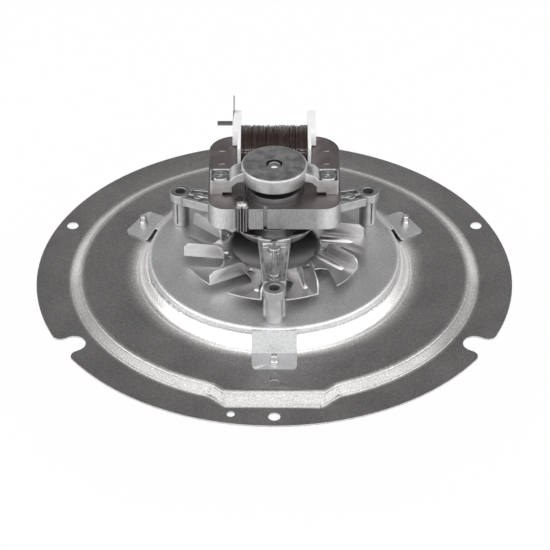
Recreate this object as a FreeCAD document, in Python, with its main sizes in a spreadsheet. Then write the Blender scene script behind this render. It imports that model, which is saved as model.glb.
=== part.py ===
import FreeCAD, Part
import math
import os
import Sketcher
from FreeCAD import Placement, Rotation, Vector

# Fan motor of a wall oven on its round mounting plate.
# The shaft is the Z axis, the coil is at +Y and Z is 0 at the underside of the plate's rim.

os.makedirs("parts", exist_ok=True)

SIZES = {
    # Main plate, pressed from one sheet
    "plate_thick": 0.8,
    "rim_width": 16.5,
    "rim_hole_inset": 6.3,
    "rim_hole_radius": 2.6,
    "rim_hole_angle": 22.5,
    "small_hole_radius": 1.75,
    "small_hole_angle": 10.5,
    "notch_inset": 6.1,
    "notch_half_width": 5.4,
    "notch_angle": -30.0,
    "notch_mouth_corner": 4.0,
    "step_height": 3.2,
    "step_run": 3.3,
    "step_foot_bulge": 2.8,
    "step_head_bulge": 1.1,
    "step_foot_flat_half": 21.5,
    "step_head_flat_half": 22.0,
    "step_foot_shoulder": 29.2,
    "step_head_shoulder": 27.5,
    "step_corner": 6.0,
    "step_bend": 1.6,
    "ring_land": 28.6,
    "boss_height": 6.3,
    "boss_run": 2.7,
    "boss_foot_bend": 3.6,
    "boss_head_bend": 2.2,
    "plate_centre_hole": 11.0,
    "press_mark_radius": 2.5,
    "press_mark_inset": 5.5,
    "press_mark_depth": 0.15,
    # Motor pan and its three tabs
    "pan_thick": 0.8,
    "pan_edge_gap": 0.7,
    "pan_rise": 9.06,
    "pan_skirt_drop": 2.46,
    "pan_bend": 1.7,
    "pan_centre_hole": 9.0,
    "tab_width": 20.0,
    "tab_land": 4.2,
    "tab_fold_gap": 1.6,
    "tab_top_overhang": 0.5,
    "tab_bend": 1.8,
    "tab_corner": 2.6,
    # Blind rivets
    "rivet_inset": 9.7,
    "rivet_radius": 1.6,
    "rivet_fit": 0.05,
    "rivet_head_radius": 3.2,
    "rivet_head_height": 1.2,
    "rivet_bulb_radius": 1.95,
    "rivet_bulb_height": 1.4,
    "rivet_rise": 4.7,
    # Lower bracket, one casting
    "post_edge_inset": 7.9,
    "post_fan_gap": 4.3,
    "post_radius": 4.0,
    "post_height": 17.88,
    "post_bore": 2.5,
    "post_boss_radius": 5.0,
    "post_boss_height": 4.4,
    "post_fin_half": 5.0,
    "post_fin_thick": 1.4,
    "post_fin_clear": 2.0,
    "leg_depth": 4.4,
    "leg_root_width": 14.6,
    "leg_tip_width": 10.0,
    "leg_root_overlap": 2.5,
    "leg_root_rise": 4.2,
    "leg_overlap": 1.0,
    "leg_wall": 1.6,
    "leg_rib": 1.5,
    "leg_recess": 2.2,
    "leg_pad_drop": 0.3,
    "inner_pad_radius": 2.9,
    "inner_pad_gap": 3.2,
    "outer_pad_radius": 2.5,
    "outer_pad_gap": 10.1,
    "bowl_rim_radius": 20.5,
    "bowl_foot_radius": 17.0,
    "bowl_wall": 1.5,
    "bowl_rim_drop": 3.2,
    "bowl_depth": 6.6,
    "bowl_notch_width": 2.6,
    "bowl_notch_depth": 0.8,
    "ear_radius": 5.0,
    "ear_web_width": 8.0,
    # Bearing seats, alike in both castings
    "cup_radius": 9.5,
    "cup_wall": 1.5,
    "cup_roof": 2.0,
    "cup_hole": 3.6,
    "bush_sphere": 5.5,
    "bush_length": 7.0,
    "bush_fit": 0.02,
    "felt_gap": 0.3,
    "clip_thick": 0.5,
    "clip_bore": 4.6,
    "clip_slot_width": 1.2,
    "clip_slot_length": 2.6,
    # Stator
    "stack_bottom": 38.3,
    "stack_height": 11.0,
    "stack_half_width": 30.0,
    "stack_front": 16.5,
    "stack_rear": 43.2,
    "stack_front_corner": 8.0,
    "stack_rear_corner": 12.0,
    "stator_bore": 13.3,
    "window_half_width": 17.3,
    "window_front": 20.0,
    "core_front": 30.2,
    "core_fit": 0.05,
    "tongue_length": 4.0,
    "tongue_root_half": 2.6,
    "tongue_tip_half": 3.6,
    "bridge_slot_offset": 4.1,
    "bridge_slot_width": 1.6,
    "bridge_slot_depth": 2.4,
    "interlock_offset": 24.0,
    "interlock_front": 19.9,
    "interlock_rear": 30.5,
    "interlock_length": 2.6,
    "interlock_width": 0.4,
    "interlock_depth": 0.3,
    "ring_middle": 14.5,
    "ring_width": 5.0,
    "ring_thick": 1.4,
    "ring_span": 5.9,
    "ring_inset": 0.1,
    "ring_fit": 0.5,
    "strand_gap": 0.6,
    "strand_groove": 0.6,
    "weld_length": 3.6,
    "weld_width": 4.6,
    "weld_rise": 1.3,
    # Bobbin, winding and terminals
    "tube_wall": 1.2,
    "tube_fit": 0.3,
    "winding_half_length": 15.4,
    "winding_half_depth": 14.6,
    "winding_half_height": 13.0,
    "winding_fit": 0.05,
    "flange_thick": 1.5,
    "flange_front": 20.5,
    "flange_rear": 52.5,
    "flange_half_height": 14.5,
    "flange_corner": 1.5,
    "block_thick": 2.4,
    "block_front": 34.3,
    "block_bottom_gap": 0.5,
    "side_terminal_width": 2.8,
    "side_terminal_thick": 0.8,
    "side_terminal_reach": 26.5,
    "side_terminal_middle": 47.5,
    "side_terminal_drop": 4.6,
    "top_terminal_width": 3.0,
    "top_terminal_thick": 0.5,
    "top_terminal_rise": 7.8,
    "top_terminal_root": 4.0,
    "top_terminal_middle": 50.6,
    "top_terminal_offset": 18.7,
    # Upper bridge, one casting
    "screw_offset": 24.2,
    "foot_inner": 19.0,
    "foot_outer": 29.0,
    "foot_height": 7.6,
    "foot_corner": 1.0,
    "foot_wall": 0.7,
    "foot_pad_start": 23.4,
    "foot_relief": 1.2,
    "arm_width": 10.1,
    "arm_thick": 3.2,
    "arm_crown": 3.9,
    "arm_shoulder": 18.5,
    "cap_radius": 14.8,
    "cap_height": 7.1,
    "cap_drop": 0.9,
    "cap_edge": 1.0,
    "screw_pocket_depth": 2.5,
    "screw_pocket_corner": 1.5,
    # Screws
    "screw_radius": 2.0,
    "screw_head_radius": 4.0,
    "screw_head_height": 2.3,
    "screw_fit": 0.2,
    "thread_fit": 0.05,
    "recess_width": 1.1,
    "recess_reach": 2.3,
    "recess_depth": 1.3,
    "post_screw_head_height": 1.6,
    "post_screw_length": 9.6,
    # Rotor and shaft
    "shaft_radius": 3.0,
    "drive_radius": 2.5,
    "drive_shoulder": 6.0,
    "drive_flat": 0.4,
    "drive_flat_length": 7.0,
    "thread_radius": 2.0,
    "thread_length": 8.0,
    "shaft_reach": 18.0,
    "shaft_top_inset": 0.9,
    "shaft_chamfer": 0.5,
    "air_gap": 0.3,
    "end_ring_height": 2.4,
    "end_ring_bore": 7.0,
    "bar_radius": 1.0,
    "bar_count": 12,
    "bar_cover": 0.6,
    "bar_inset": 0.4,
    "washer_radius": 5.0,
    "thrust_play": 0.3,
    # Cooling fan
    "fan_radius": 42.0,
    "fan_thick": 0.6,
    "fan_plane": 17.8,
    "blade_count": 10,
    "blade_lead": 10.2,
    "flap_height": 6.5,
    "flap_root_radius": 25.0,
    "flap_root_turn": 13.0,
    "flap_chamfer": 2.2,
    "blade_sweep": 22.0,
    "blade_waist_radius": 30.3,
    "blade_waist_turn": 11.5,
    "blade_heel_radius": 27.6,
    "blade_heel_turn": 14.5,
    "bead_height": 1.2,
    "bead_offset": 4.8,
    "bead_start": 4.2,
    "bead_overrun": 1.5,
    "relief_radius": 1.0,
    "relief_circle": 23.0,
    "relief_turn": 15.5,
    "fan_ridge_radius": 20.3,
    "fan_ridge_half": 1.8,
    "fan_ridge_height": 0.8,
    "hub_radius": 5.0,
    "hub_flange_radius": 8.0,
    "hub_flange_thick": 2.4,
    "hub_height": 6.0,
}

FASTENER_TURNS = 3
doc = FreeCAD.newDocument("OvenFanMotor")
sheet = doc.addObject("Spreadsheet::Sheet", "sizes")
for row, (alias, number) in enumerate(SIZES.items(), start=1):
    sheet.set(f"A{row}", alias)
    sheet.set(f"B{row}", str(number))
    sheet.setAlias(f"B{row}", alias)
doc.recompute()


class Size:
    """A number that remembers its formula, so that an object can follow the sheet."""

    def __init__(self, value, formula):
        self.value = float(value)
        self.formula = formula

    def __add__(self, other):
        other = as_size(other)
        return Size(self.value + other.value, f"({self.formula} + {other.formula})")

    def __radd__(self, other):
        return as_size(other) + self

    def __sub__(self, other):
        other = as_size(other)
        return Size(self.value - other.value, f"({self.formula} - {other.formula})")

    def __rsub__(self, other):
        return as_size(other) - self

    def __mul__(self, other):
        other = as_size(other)
        return Size(self.value * other.value, f"({self.formula} * {other.formula})")

    def __rmul__(self, other):
        return as_size(other) * self

    def __truediv__(self, other):
        other = as_size(other)
        return Size(self.value / other.value, f"({self.formula} / {other.formula})")

    def __neg__(self):
        return Size(-self.value, f"(0 - {self.formula})")


def as_size(number):
    """Turn a plain number into a Size."""
    if isinstance(number, Size):
        return number
    return Size(number, repr(float(number)))


def size(name):
    """The Size of one cell of the sheet."""
    return Size(sheet.get(name), f"sizes.{name}")


def root(number):
    """Square root of a Size."""
    return Size(math.sqrt(number.value), f"sqrt({number.formula})")


def cosine(angle):
    """Cosine of a Size in degrees."""
    angle = as_size(angle)
    return Size(math.cos(math.radians(angle.value)), f"cos({angle.formula} * 1 deg)")


def sine(angle):
    """Sine of a Size in degrees."""
    angle = as_size(angle)
    return Size(math.sin(math.radians(angle.value)), f"sin({angle.formula} * 1 deg)")


def polar_point(radius, angle):
    """The x and y of a point at a radius and an angle."""
    return radius * cosine(angle), radius * sine(angle)


def bind(thing, name, number):
    """Set a property and tie it to the sheet where the number comes from it."""
    if isinstance(number, Size):
        thing.setExpression(name, number.formula)
    else:
        setattr(thing, name, number)


def new_body(name):
    """A body named after its node."""
    body = doc.addObject("PartDesign::Body", name)
    body.Label = name
    return body


def origin_part(body, role):
    """One plane or axis of a body's own origin."""
    return [item for item in body.Origin.OriginFeatures if item.Role == role][0]


def new_sketch(body, plane, name, shift=(0, 0, 0), turn=0.0):
    """An empty sketch on an origin plane, shifted and turned in that plane's own axes."""
    sketch = body.newObject("Sketcher::SketchObject", name)
    sketch.AttachmentSupport = [(origin_part(body, plane), "")]
    sketch.MapMode = "FlatFace"
    start = Vector(*[as_size(step).value for step in shift])
    axis = Vector(0, 0, 1) if plane == "XY_Plane" else Vector(0, 1, 0)
    sketch.AttachmentOffset = Placement(start, Rotation(axis, as_size(turn).value))
    for axis_name, step in zip("xyz", shift):
        if isinstance(step, Size):
            sketch.setExpression(f"AttachmentOffset.Base.{axis_name}", step.formula)
    return sketch


def hold(sketch, kind, *reference, number):
    """Add one dimension to a sketch and tie it to the sheet."""
    number = as_size(number)
    index = sketch.addConstraint(Sketcher.Constraint(kind, *reference, number.value))
    sketch.setExpression(f"Constraints[{index}]", number.formula)


def hold_point(sketch, geometry, end, x, y):
    """Fix one point of a sketch at x and y."""
    hold(sketch, "DistanceX", -1, 1, geometry, end, number=x)
    hold(sketch, "DistanceY", -1, 1, geometry, end, number=y)


def add_polygon(sketch, points):
    """Add a closed outline of straight lines."""
    corners = [Vector(as_size(x).value, as_size(y).value, 0) for x, y in points]
    following = corners[1:] + corners[:1]
    lines = [sketch.addGeometry(Part.LineSegment(a, b)) for a, b in zip(corners, following)]
    for line, after in zip(lines, lines[1:] + lines[:1]):
        sketch.addConstraint(Sketcher.Constraint("Coincident", line, 2, after, 1))
    for line, (x, y) in zip(lines, points):
        hold_point(sketch, line, 1, x, y)


def add_rectangle(sketch, left, right, bottom, top):
    """Add an upright rectangle."""
    add_polygon(sketch, [(left, bottom), (right, bottom), (right, top), (left, top)])


def add_circle(sketch, radius, x=0.0, y=0.0):
    """Add a circle."""
    centre = Vector(as_size(x).value, as_size(y).value, 0)
    circle = sketch.addGeometry(Part.Circle(centre, Vector(0, 0, 1), as_size(radius).value))
    hold(sketch, "Radius", circle, number=radius)
    hold_point(sketch, circle, 3, x, y)


def add_arc(sketch, radius, start_angle, end_angle):
    """Add an arc about the sketch's origin, counter-clockwise, and return its number."""
    circle = Part.Circle(Vector(0, 0, 0), Vector(0, 0, 1), radius.value)
    arc = sketch.addGeometry(Part.ArcOfCircle(circle, start_angle, end_angle))
    sketch.addConstraint(Sketcher.Constraint("Coincident", arc, 3, -1, 1))
    hold(sketch, "Radius", arc, number=radius)
    return arc


def feature(body, kind, name, sketch=None):
    """Add a feature to a body, with its sketch if it has one."""
    item = body.newObject(f"PartDesign::{kind}", name)
    if sketch:
        item.Profile = sketch
        sketch.Visibility = False
    return item


def extrude(body, kind, name, sketch, length, both_ways=False, reverse=False):
    """Pad or pocket a sketch."""
    item = feature(body, kind, name, sketch)
    bind(item, "Length", length)
    if both_ways:
        item.SideType = "Symmetric"
    item.Reversed = reverse
    doc.recompute()
    return item


def turn_about_vertical(body, kind, name, sketch):
    """Revolve or groove a sketch about its own vertical axis."""
    item = feature(body, kind, name, sketch)
    item.ReferenceAxis = (sketch, ["V_Axis"])
    item.Angle = 360
    doc.recompute()
    return item


def loft(body, kind, name, first, second):
    """Join two sketches by straight walls."""
    item = feature(body, kind, name, first)
    item.Sections = [second]
    item.Ruled = True
    doc.recompute()
    return item


def around(body, originals, name, count):
    """Repeat features evenly about the shaft."""
    item = feature(body, "PolarPattern", name)
    item.Originals = originals
    item.Axis = (origin_part(body, "Z_Axis"), [""])
    item.Angle = 360
    bind(item, "Occurrences", count)
    body.Tip = item
    doc.recompute()
    return item


def mirrored(body, originals, name):
    """Repeat features on the other side of the plane x = 0."""
    item = feature(body, "Mirrored", name)
    item.Originals = originals
    item.MirrorPlane = (origin_part(body, "YZ_Plane"), [""])
    body.Tip = item
    doc.recompute()
    return item


def soften(body, name, radius, test, kind="Fillet"):
    """Round or chamfer every edge of the body that the test picks."""
    edges = []
    for index, edge in enumerate(body.Tip.Shape.Edges, start=1):
        if test(edge):
            edges.append(f"Edge{index}")
    if not edges:
        raise ValueError(f"{body.Label}: no edge found for {name}")
    item = feature(body, kind, name)
    item.Base = (item.BaseFeature, edges)
    bind(item, "Radius" if kind == "Fillet" else "Size", radius)
    doc.recompute()
    return item


def lies_at(edge, height):
    """True for an edge that lies flat at a height."""
    box = edge.BoundBox
    near = 0.001
    return abs(box.ZMin - height) < near and abs(box.ZMax - height) < near


def is_ring(edge, radius, height):
    """True for an arc or circle about the shaft at a radius and height."""
    near = 0.01
    round_edge = isinstance(edge.Curve, Part.Circle) and abs(edge.Curve.Radius - radius) < near
    return round_edge and lies_at(edge, height) and edge.Curve.Center.sub(Vector(0, 0, height)).Length < near


def is_upright(edge):
    """True for a straight edge along Z."""
    box = edge.BoundBox
    near = 0.001
    return box.XLength < near and box.YLength < near and box.ZLength > near


def turned_piece(name, points, circle=None, side=None, count=None):
    """A turned piece, or a ring of like ones standing off the shaft."""
    body = new_body(name)
    shift = (0, 0, 0)
    if circle is not None:
        shift = (0, 0, circle)
    if side is not None:
        shift = (side, 0, 0)
    sketch = new_sketch(body, "XZ_Plane", f"{name}_profile", shift)
    add_polygon(sketch, points)
    turned = turn_about_vertical(body, "Revolution", f"{name}_turned", sketch)
    if count:
        around(body, [turned], f"{name}_copies", count)
    return body


def cylinder(name, radius, height, base, x=0.0, y=0.0):
    """An upright cylinder standing on a height."""
    item = doc.addObject("Part::Cylinder", name)
    bind(item, "Radius", radius)
    bind(item, "Height", height)
    place(item, x, y, base)
    return item


def place(item, x, y, z):
    """Move a primitive and tie its place to the sheet."""
    item.Placement = Placement(Vector(*[as_size(step).value for step in (x, y, z)]), Rotation())
    for axis_name, step in zip("xyz", (x, y, z)):
        if isinstance(step, Size):
            item.setExpression(f"Placement.Base.{axis_name}", step.formula)


def cut(name, base, tool):
    """One solid less another."""
    item = doc.addObject("Part::Cut", name)
    item.Base = base
    item.Tool = tool
    item.Label = name
    return item


def tube(name, outer, inner, height, base):
    """A plain ring about the shaft."""
    outside = cylinder(f"{name}_outside", outer, height, base)
    return cut(name, outside, cylinder(f"{name}_inside", inner, height, base))


# Radii that follow one another outwards from the fan
post_circle = size("fan_radius") + size("post_fan_gap") + size("post_radius")
pan_radius = post_circle + size("post_edge_inset")
boss_head_radius = pan_radius + size("pan_edge_gap")
boss_foot_radius = boss_head_radius + size("boss_run")
tab_fold = boss_foot_radius + size("tab_fold_gap")
rivet_circle = boss_foot_radius + size("rivet_inset")
tab_reach = rivet_circle + size("tab_land")
step_head_radius = boss_foot_radius + size("ring_land")
step_foot_radius = step_head_radius + size("step_run")
step_head_flat = step_head_radius + size("step_head_bulge")
step_foot_flat = step_foot_radius + size("step_foot_bulge")
rim_radius = step_foot_radius + size("rim_width")
rim_hole_circle = rim_radius - size("rim_hole_inset")
notch_circle = rim_radius - size("notch_inset")
leg_root_reach = size("bowl_rim_radius") - size("leg_root_overlap")
leg_tip_reach = post_circle - size("post_boss_radius") + size("leg_overlap")

# Heights that several pieces share
plate_thick = size("plate_thick")
plateau_under = size("step_height")
plateau = plateau_under + plate_thick
boss_top = plateau + size("boss_height")
pan_top = plateau + size("pan_rise")
pan_under = pan_top - size("pan_thick")
skirt_edge = pan_top - size("pan_skirt_drop")
tab_top = plateau + size("pan_thick")
post_top = pan_top + size("post_height")
stack_bottom = size("stack_bottom")
stack_top = stack_bottom + size("stack_height")
ring_top = stack_top + size("end_ring_height")
ring_bottom = stack_bottom - size("end_ring_height")
foot_top = stack_top + size("foot_height")
arm_top = foot_top + size("arm_crown")
cap_bottom = foot_top - size("cap_drop")
cap_top = cap_bottom + size("cap_height")
cup_ceiling = cap_top - size("cup_roof")
bowl_rim = stack_bottom - size("bowl_rim_drop")
bowl_floor = bowl_rim - size("bowl_depth")
bush_half = size("bush_length") / 2
upper_bush = cup_ceiling - bush_half
clip_rise = root(size("bush_sphere") * size("bush_sphere") - size("clip_bore") * size("clip_bore"))
washer_stack = upper_bush - bush_half - ring_top - size("thrust_play")
lower_bush = ring_bottom - washer_stack - size("thrust_play") - bush_half
cup_floor = lower_bush - bush_half
upper_clip = upper_bush - clip_rise - size("clip_thick")
lower_clip = lower_bush + clip_rise
shaft_top = cap_top - size("shaft_top_inset")
core_middle = (size("core_front") + size("stack_rear")) / 2
coil_height = stack_bottom + size("stack_height") / 2
fan_under = size("fan_plane") - size("fan_thick")


def step_outline(body, name, height, radius, flat, flat_half, shoulder):
    """A circle whose front is a flat between two sloping shoulders."""
    sketch = new_sketch(body, "XY_Plane", name, (0, 0, height))
    join = root(radius * radius - shoulder * shoulder)
    start = math.atan2(-join.value, shoulder.value)
    arc = add_arc(sketch, radius, start, math.pi - start)
    hold(sketch, "DistanceX", -1, 1, arc, 1, number=shoulder)
    hold(sketch, "DistanceX", -1, 1, arc, 2, number=-shoulder)
    corners = [(-shoulder, -join), (-flat_half, -flat), (flat_half, -flat), (shoulder, -join)]
    spots = [Vector(x.value, y.value, 0) for x, y in corners]
    lines = [sketch.addGeometry(Part.LineSegment(a, b)) for a, b in zip(spots, spots[1:])]
    chain = [arc] + lines + [arc]
    for first, second in zip(chain, chain[1:]):
        sketch.addConstraint(Sketcher.Constraint("Coincident", first, 2, second, 1))
    for line, (x, y) in zip(lines, corners[1:3]):
        hold_point(sketch, line, 2, x, y)
    return sketch


def wall_inset(run, rise, thick):
    """How far the inside of a sloping sheet wall lies within its outside, one sheet lower."""
    slope = run / rise
    return thick * (root(slope * slope + 1) - slope)


def step_form(body, kind, name, low, high, inset):
    """The stepped disc, solid or as the hollow under it."""
    foot = step_outline(
        body, f"{name}_foot", low, step_foot_radius - inset, step_foot_flat - inset,
        size("step_foot_flat_half"), size("step_foot_shoulder") - inset)
    head = step_outline(
        body, f"{name}_head", high, step_head_radius - inset, step_head_flat - inset,
        size("step_head_flat_half"), size("step_head_shoulder") - inset)
    return loft(body, kind, name, foot, head)


def slopes_between(edge, low, high):
    """True for an edge that climbs from one height to another away from the shaft's own seam."""
    box = edge.BoundBox
    near = 0.001
    climbs = abs(box.ZMin - low) < near and abs(box.ZMax - high) < near
    return climbs and len(edge.Vertexes) == 2 and box.YMin < -high


def near_step(edge, height):
    """True for an edge of the step's outline at a height."""
    box = edge.BoundBox
    far = max(abs(box.XMin), abs(box.XMax), abs(box.YMin), abs(box.YMax))
    within = (step_head_radius - size("ring_land") / 2).value
    beyond = (step_foot_flat + size("rim_width") / 4).value
    return lies_at(edge, height) and within < far < beyond


def build_main_plate():
    """The round plate with a raised step, a drum-shaped boss and the rim's holes."""
    body = new_body("main_plate")
    thick = plate_thick
    disc = new_sketch(body, "XY_Plane", "rim_outline")
    add_circle(disc, rim_radius)
    extrude(body, "Pad", "rim_disc", disc, thick)
    step_form(body, "AdditiveLoft", "step_outside", thick, plateau, as_size(0))
    boss = new_sketch(body, "XZ_Plane", "boss_outline")
    add_polygon(boss, [
        (0, plateau_under), (boss_foot_radius, plateau_under), (boss_foot_radius, plateau),
        (boss_head_radius, boss_top), (0, boss_top)])
    turn_about_vertical(body, "Revolution", "boss_outside", boss)
    corner = size("step_corner")
    soften(body, "step_corners", corner, lambda e: slopes_between(e, thick.value, plateau.value))
    bend = size("step_bend")
    soften(body, "step_foot_bend", bend, lambda e: near_step(e, thick.value))
    soften(body, "step_head_bend", bend, lambda e: near_step(e, plateau.value))
    soften(body, "boss_foot_bend", size("boss_foot_bend"),
           lambda e: is_ring(e, boss_foot_radius.value, plateau.value))
    soften(body, "boss_head_bend", size("boss_head_bend"),
           lambda e: is_ring(e, boss_head_radius.value, boss_top.value))
    step_inset = wall_inset(size("step_run"), size("step_height"), thick)
    step_form(body, "SubtractiveLoft", "step_inside", as_size(0), plateau_under, step_inset)
    boss_inset = wall_inset(size("boss_run"), size("boss_height"), thick)
    inner_foot = boss_foot_radius - boss_inset
    inner_head = boss_head_radius - boss_inset
    hollow = new_sketch(body, "XZ_Plane", "boss_hollow")
    add_polygon(hollow, [(0, 0), (inner_foot, 0), (inner_foot, plateau_under),
                         (inner_head, boss_top - thick), (0, boss_top - thick)])
    turn_about_vertical(body, "Groove", "boss_inside", hollow)
    soften(body, "inner_corners", corner, lambda e: slopes_between(e, 0.0, plateau_under.value))
    soften(body, "inner_foot_bend", bend + thick, lambda e: near_step(e, 0.0))
    soften(body, "inner_head_bend", bend - thick, lambda e: near_step(e, plateau_under.value))
    soften(body, "inner_boss_foot", size("boss_foot_bend") + thick,
           lambda e: is_ring(e, inner_foot.value, plateau_under.value))
    soften(body, "inner_boss_head", size("boss_head_bend") - thick,
           lambda e: is_ring(e, inner_head.value, (boss_top - thick).value))
    holes = new_sketch(body, "XY_Plane", "rim_holes")
    circle = rim_hole_circle
    add_circle(holes, size("rim_hole_radius"), 0, -circle)
    for side in (-1, 1):
        across = side * circle * cosine(size("rim_hole_angle"))
        add_circle(holes, size("rim_hole_radius"), across, circle * sine(size("rim_hole_angle")))
    small_angle = size("small_hole_angle")
    add_circle(holes, size("small_hole_radius"), -circle * sine(small_angle), -circle * cosine(small_angle))
    extrude(body, "Pocket", "rim_hole_cuts", holes, thick, reverse=True)
    notch = new_sketch(body, "XY_Plane", "notch_outline", turn=size("notch_angle"))
    half = size("notch_half_width")
    add_rectangle(notch, notch_circle, rim_radius + half, -half, half)
    slot = extrude(body, "Pocket", "notch_mouth", notch, thick, reverse=True)
    round_end = new_sketch(body, "XY_Plane", "notch_round", turn=size("notch_angle"))
    add_circle(round_end, half, notch_circle, 0)
    bottom = extrude(body, "Pocket", "notch_bottom", round_end, thick, reverse=True)
    mirrored(body, [slot, bottom], "notches")
    edge_reach = (rim_radius - thick).value
    soften(body, "notch_corners", size("notch_mouth_corner"),
           lambda e: is_upright(e) and len(e.Vertexes) == 2
           and Vector(e.BoundBox.XMin, e.BoundBox.YMin, 0).Length > edge_reach)
    middle = new_sketch(body, "XY_Plane", "plate_middle", (0, 0, plateau_under))
    add_circle(middle, size("plate_centre_hole"))
    extrude(body, "Pocket", "plate_centre", middle, boss_top, reverse=True)
    rivet_hole = new_sketch(body, "XY_Plane", "plate_rivet_hole", (0, 0, plateau_under))
    add_circle(rivet_hole, size("rivet_radius") + size("rivet_fit"), 0, -rivet_circle)
    pierced = extrude(body, "Pocket", "plate_rivet_cut", rivet_hole, thick, reverse=True)
    around(body, [pierced], "plate_rivet_holes", FASTENER_TURNS)
    mark = new_sketch(body, "XY_Plane", "press_mark_outline", (0, 0, plateau))
    add_circle(mark, size("press_mark_radius"), 0, size("press_mark_inset") - step_head_radius)
    extrude(body, "Pocket", "press_mark", mark, size("press_mark_depth"))
    return body


def build_motor_pan():
    """The shallow lid under the motor, with three tabs riveted to the plate."""
    body = new_body("motor_pan")
    thick = size("pan_thick")
    lid = new_sketch(body, "XZ_Plane", "pan_profile")
    radius = pan_radius
    add_polygon(lid, [
        (size("pan_centre_hole"), pan_under), (radius - thick, pan_under), (radius - thick, skirt_edge),
        (radius, skirt_edge), (radius, pan_top), (size("pan_centre_hole"), pan_top)])
    turn_about_vertical(body, "Revolution", "pan_lid", lid)
    soften(body, "pan_edge", size("pan_bend"), lambda e: is_ring(e, radius.value, pan_top.value))
    inner_bend = size("pan_bend") - thick
    soften(body, "pan_inner_edge", inner_bend, lambda e: is_ring(e, (radius - thick).value, pan_under.value))
    tab = new_sketch(body, "YZ_Plane", "tab_profile")
    under_top = radius + size("tab_top_overhang")
    run = (tab_fold - under_top) / (pan_under - plateau)
    shift = thick * (root(run * run + 1) - run)
    start = radius - size("pan_bend") * 2
    add_polygon(tab, [
        (-start, pan_under), (-under_top, pan_under), (-tab_fold, plateau), (-tab_reach, plateau),
        (-tab_reach, tab_top), (-(tab_fold + shift), tab_top), (-(under_top + shift), pan_top),
        (-start, pan_top)])
    strip = extrude(body, "Pad", "tab_strip", tab, size("tab_width"), both_ways=True)
    rivet_hole = new_sketch(body, "XY_Plane", "tab_rivet_hole", (0, 0, plateau))
    add_circle(rivet_hole, size("rivet_radius") + size("rivet_fit"), 0, -rivet_circle)
    pierced = extrude(body, "Pocket", "tab_rivet_cut", rivet_hole, thick, reverse=True)
    post_hole = new_sketch(body, "XY_Plane", "pan_post_hole", (0, 0, pan_under))
    add_circle(post_hole, size("post_bore") + size("screw_fit"), 0, -post_circle)
    post_cut = extrude(body, "Pocket", "pan_post_cut", post_hole, thick, reverse=True)
    around(body, [strip, pierced, post_cut], "pan_tabs", FASTENER_TURNS)
    straight = size("tab_width").value
    between = ((tab_fold + tab_reach) / 2).value
    near = 0.01

    def reach_of(edge):
        return math.hypot(edge.BoundBox.Center.x, edge.BoundBox.Center.y)

    def folds_at(edge, height):
        across = lies_at(edge, height.value) and abs(edge.Length - straight) < near
        return across and reach_of(edge) < between

    soften(body, "tab_under_fold", size("tab_bend"), lambda e: folds_at(e, plateau))
    soften(body, "tab_top_fold", size("tab_bend") - thick, lambda e: folds_at(e, tab_top))
    soften(body, "tab_head_fold", size("pan_bend"),
           lambda e: folds_at(e, pan_top) and reach_of(e) > radius.value)
    soften(body, "tab_corners", size("tab_corner"),
           lambda e: is_upright(e) and reach_of(e) > tab_reach.value)
    return body


def build_pan_rivets():
    """Three blind rivets that hold the pan's tabs to the plate."""
    shank = size("rivet_radius")
    head = size("rivet_head_radius")
    low = plateau_under - size("rivet_head_height")
    bulb = size("rivet_bulb_radius")
    bulb_top = tab_top + size("rivet_bulb_height")
    neck = bulb - shank
    top = tab_top + size("rivet_rise")
    dimple = shank / 2
    return turned_piece("pan_rivets", [
        (0, low), (head - dimple, low), (head, low + size("rivet_head_height") / 2), (head, plateau_under),
        (shank, plateau_under), (shank, tab_top), (bulb, tab_top), (bulb, bulb_top),
        (shank, bulb_top + neck * 2), (shank, top - neck), (shank - neck, top), (dimple, top),
        (dimple, top - dimple), (0, top - dimple)], circle=rivet_circle, count=FASTENER_TURNS)


def build_post_screws():
    """Three low-head screws that come up through the pan into the bracket's posts."""
    head = size("screw_head_radius")
    shank = size("post_bore") - size("thread_fit")
    low = pan_under - size("post_screw_head_height")
    edge = size("post_screw_head_height") / 3
    tip = pan_under + size("post_screw_length")
    return turned_piece("post_screws", [
        (0, low), (head - edge, low), (head, low + edge), (head, pan_under), (shank, pan_under),
        (shank, tip - edge), (shank - edge, tip), (0, tip)], circle=post_circle, count=FASTENER_TURNS)


def leg_section(reach):
    """Half width and top height of a bracket leg at a distance from the shaft."""
    share = (reach - leg_root_reach) / (leg_tip_reach - leg_root_reach)
    width = size("leg_root_width") + (size("leg_tip_width") - size("leg_root_width")) * share
    top = post_top + size("leg_root_rise") * (1 - share)
    return width / 2, top


def leg_sketch(body, name, reach, left, right, low, high):
    """An upright rectangle across a leg."""
    sketch = new_sketch(body, "XZ_Plane", name, (0, 0, reach))
    add_rectangle(sketch, left, right, low, high)
    return sketch


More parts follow.
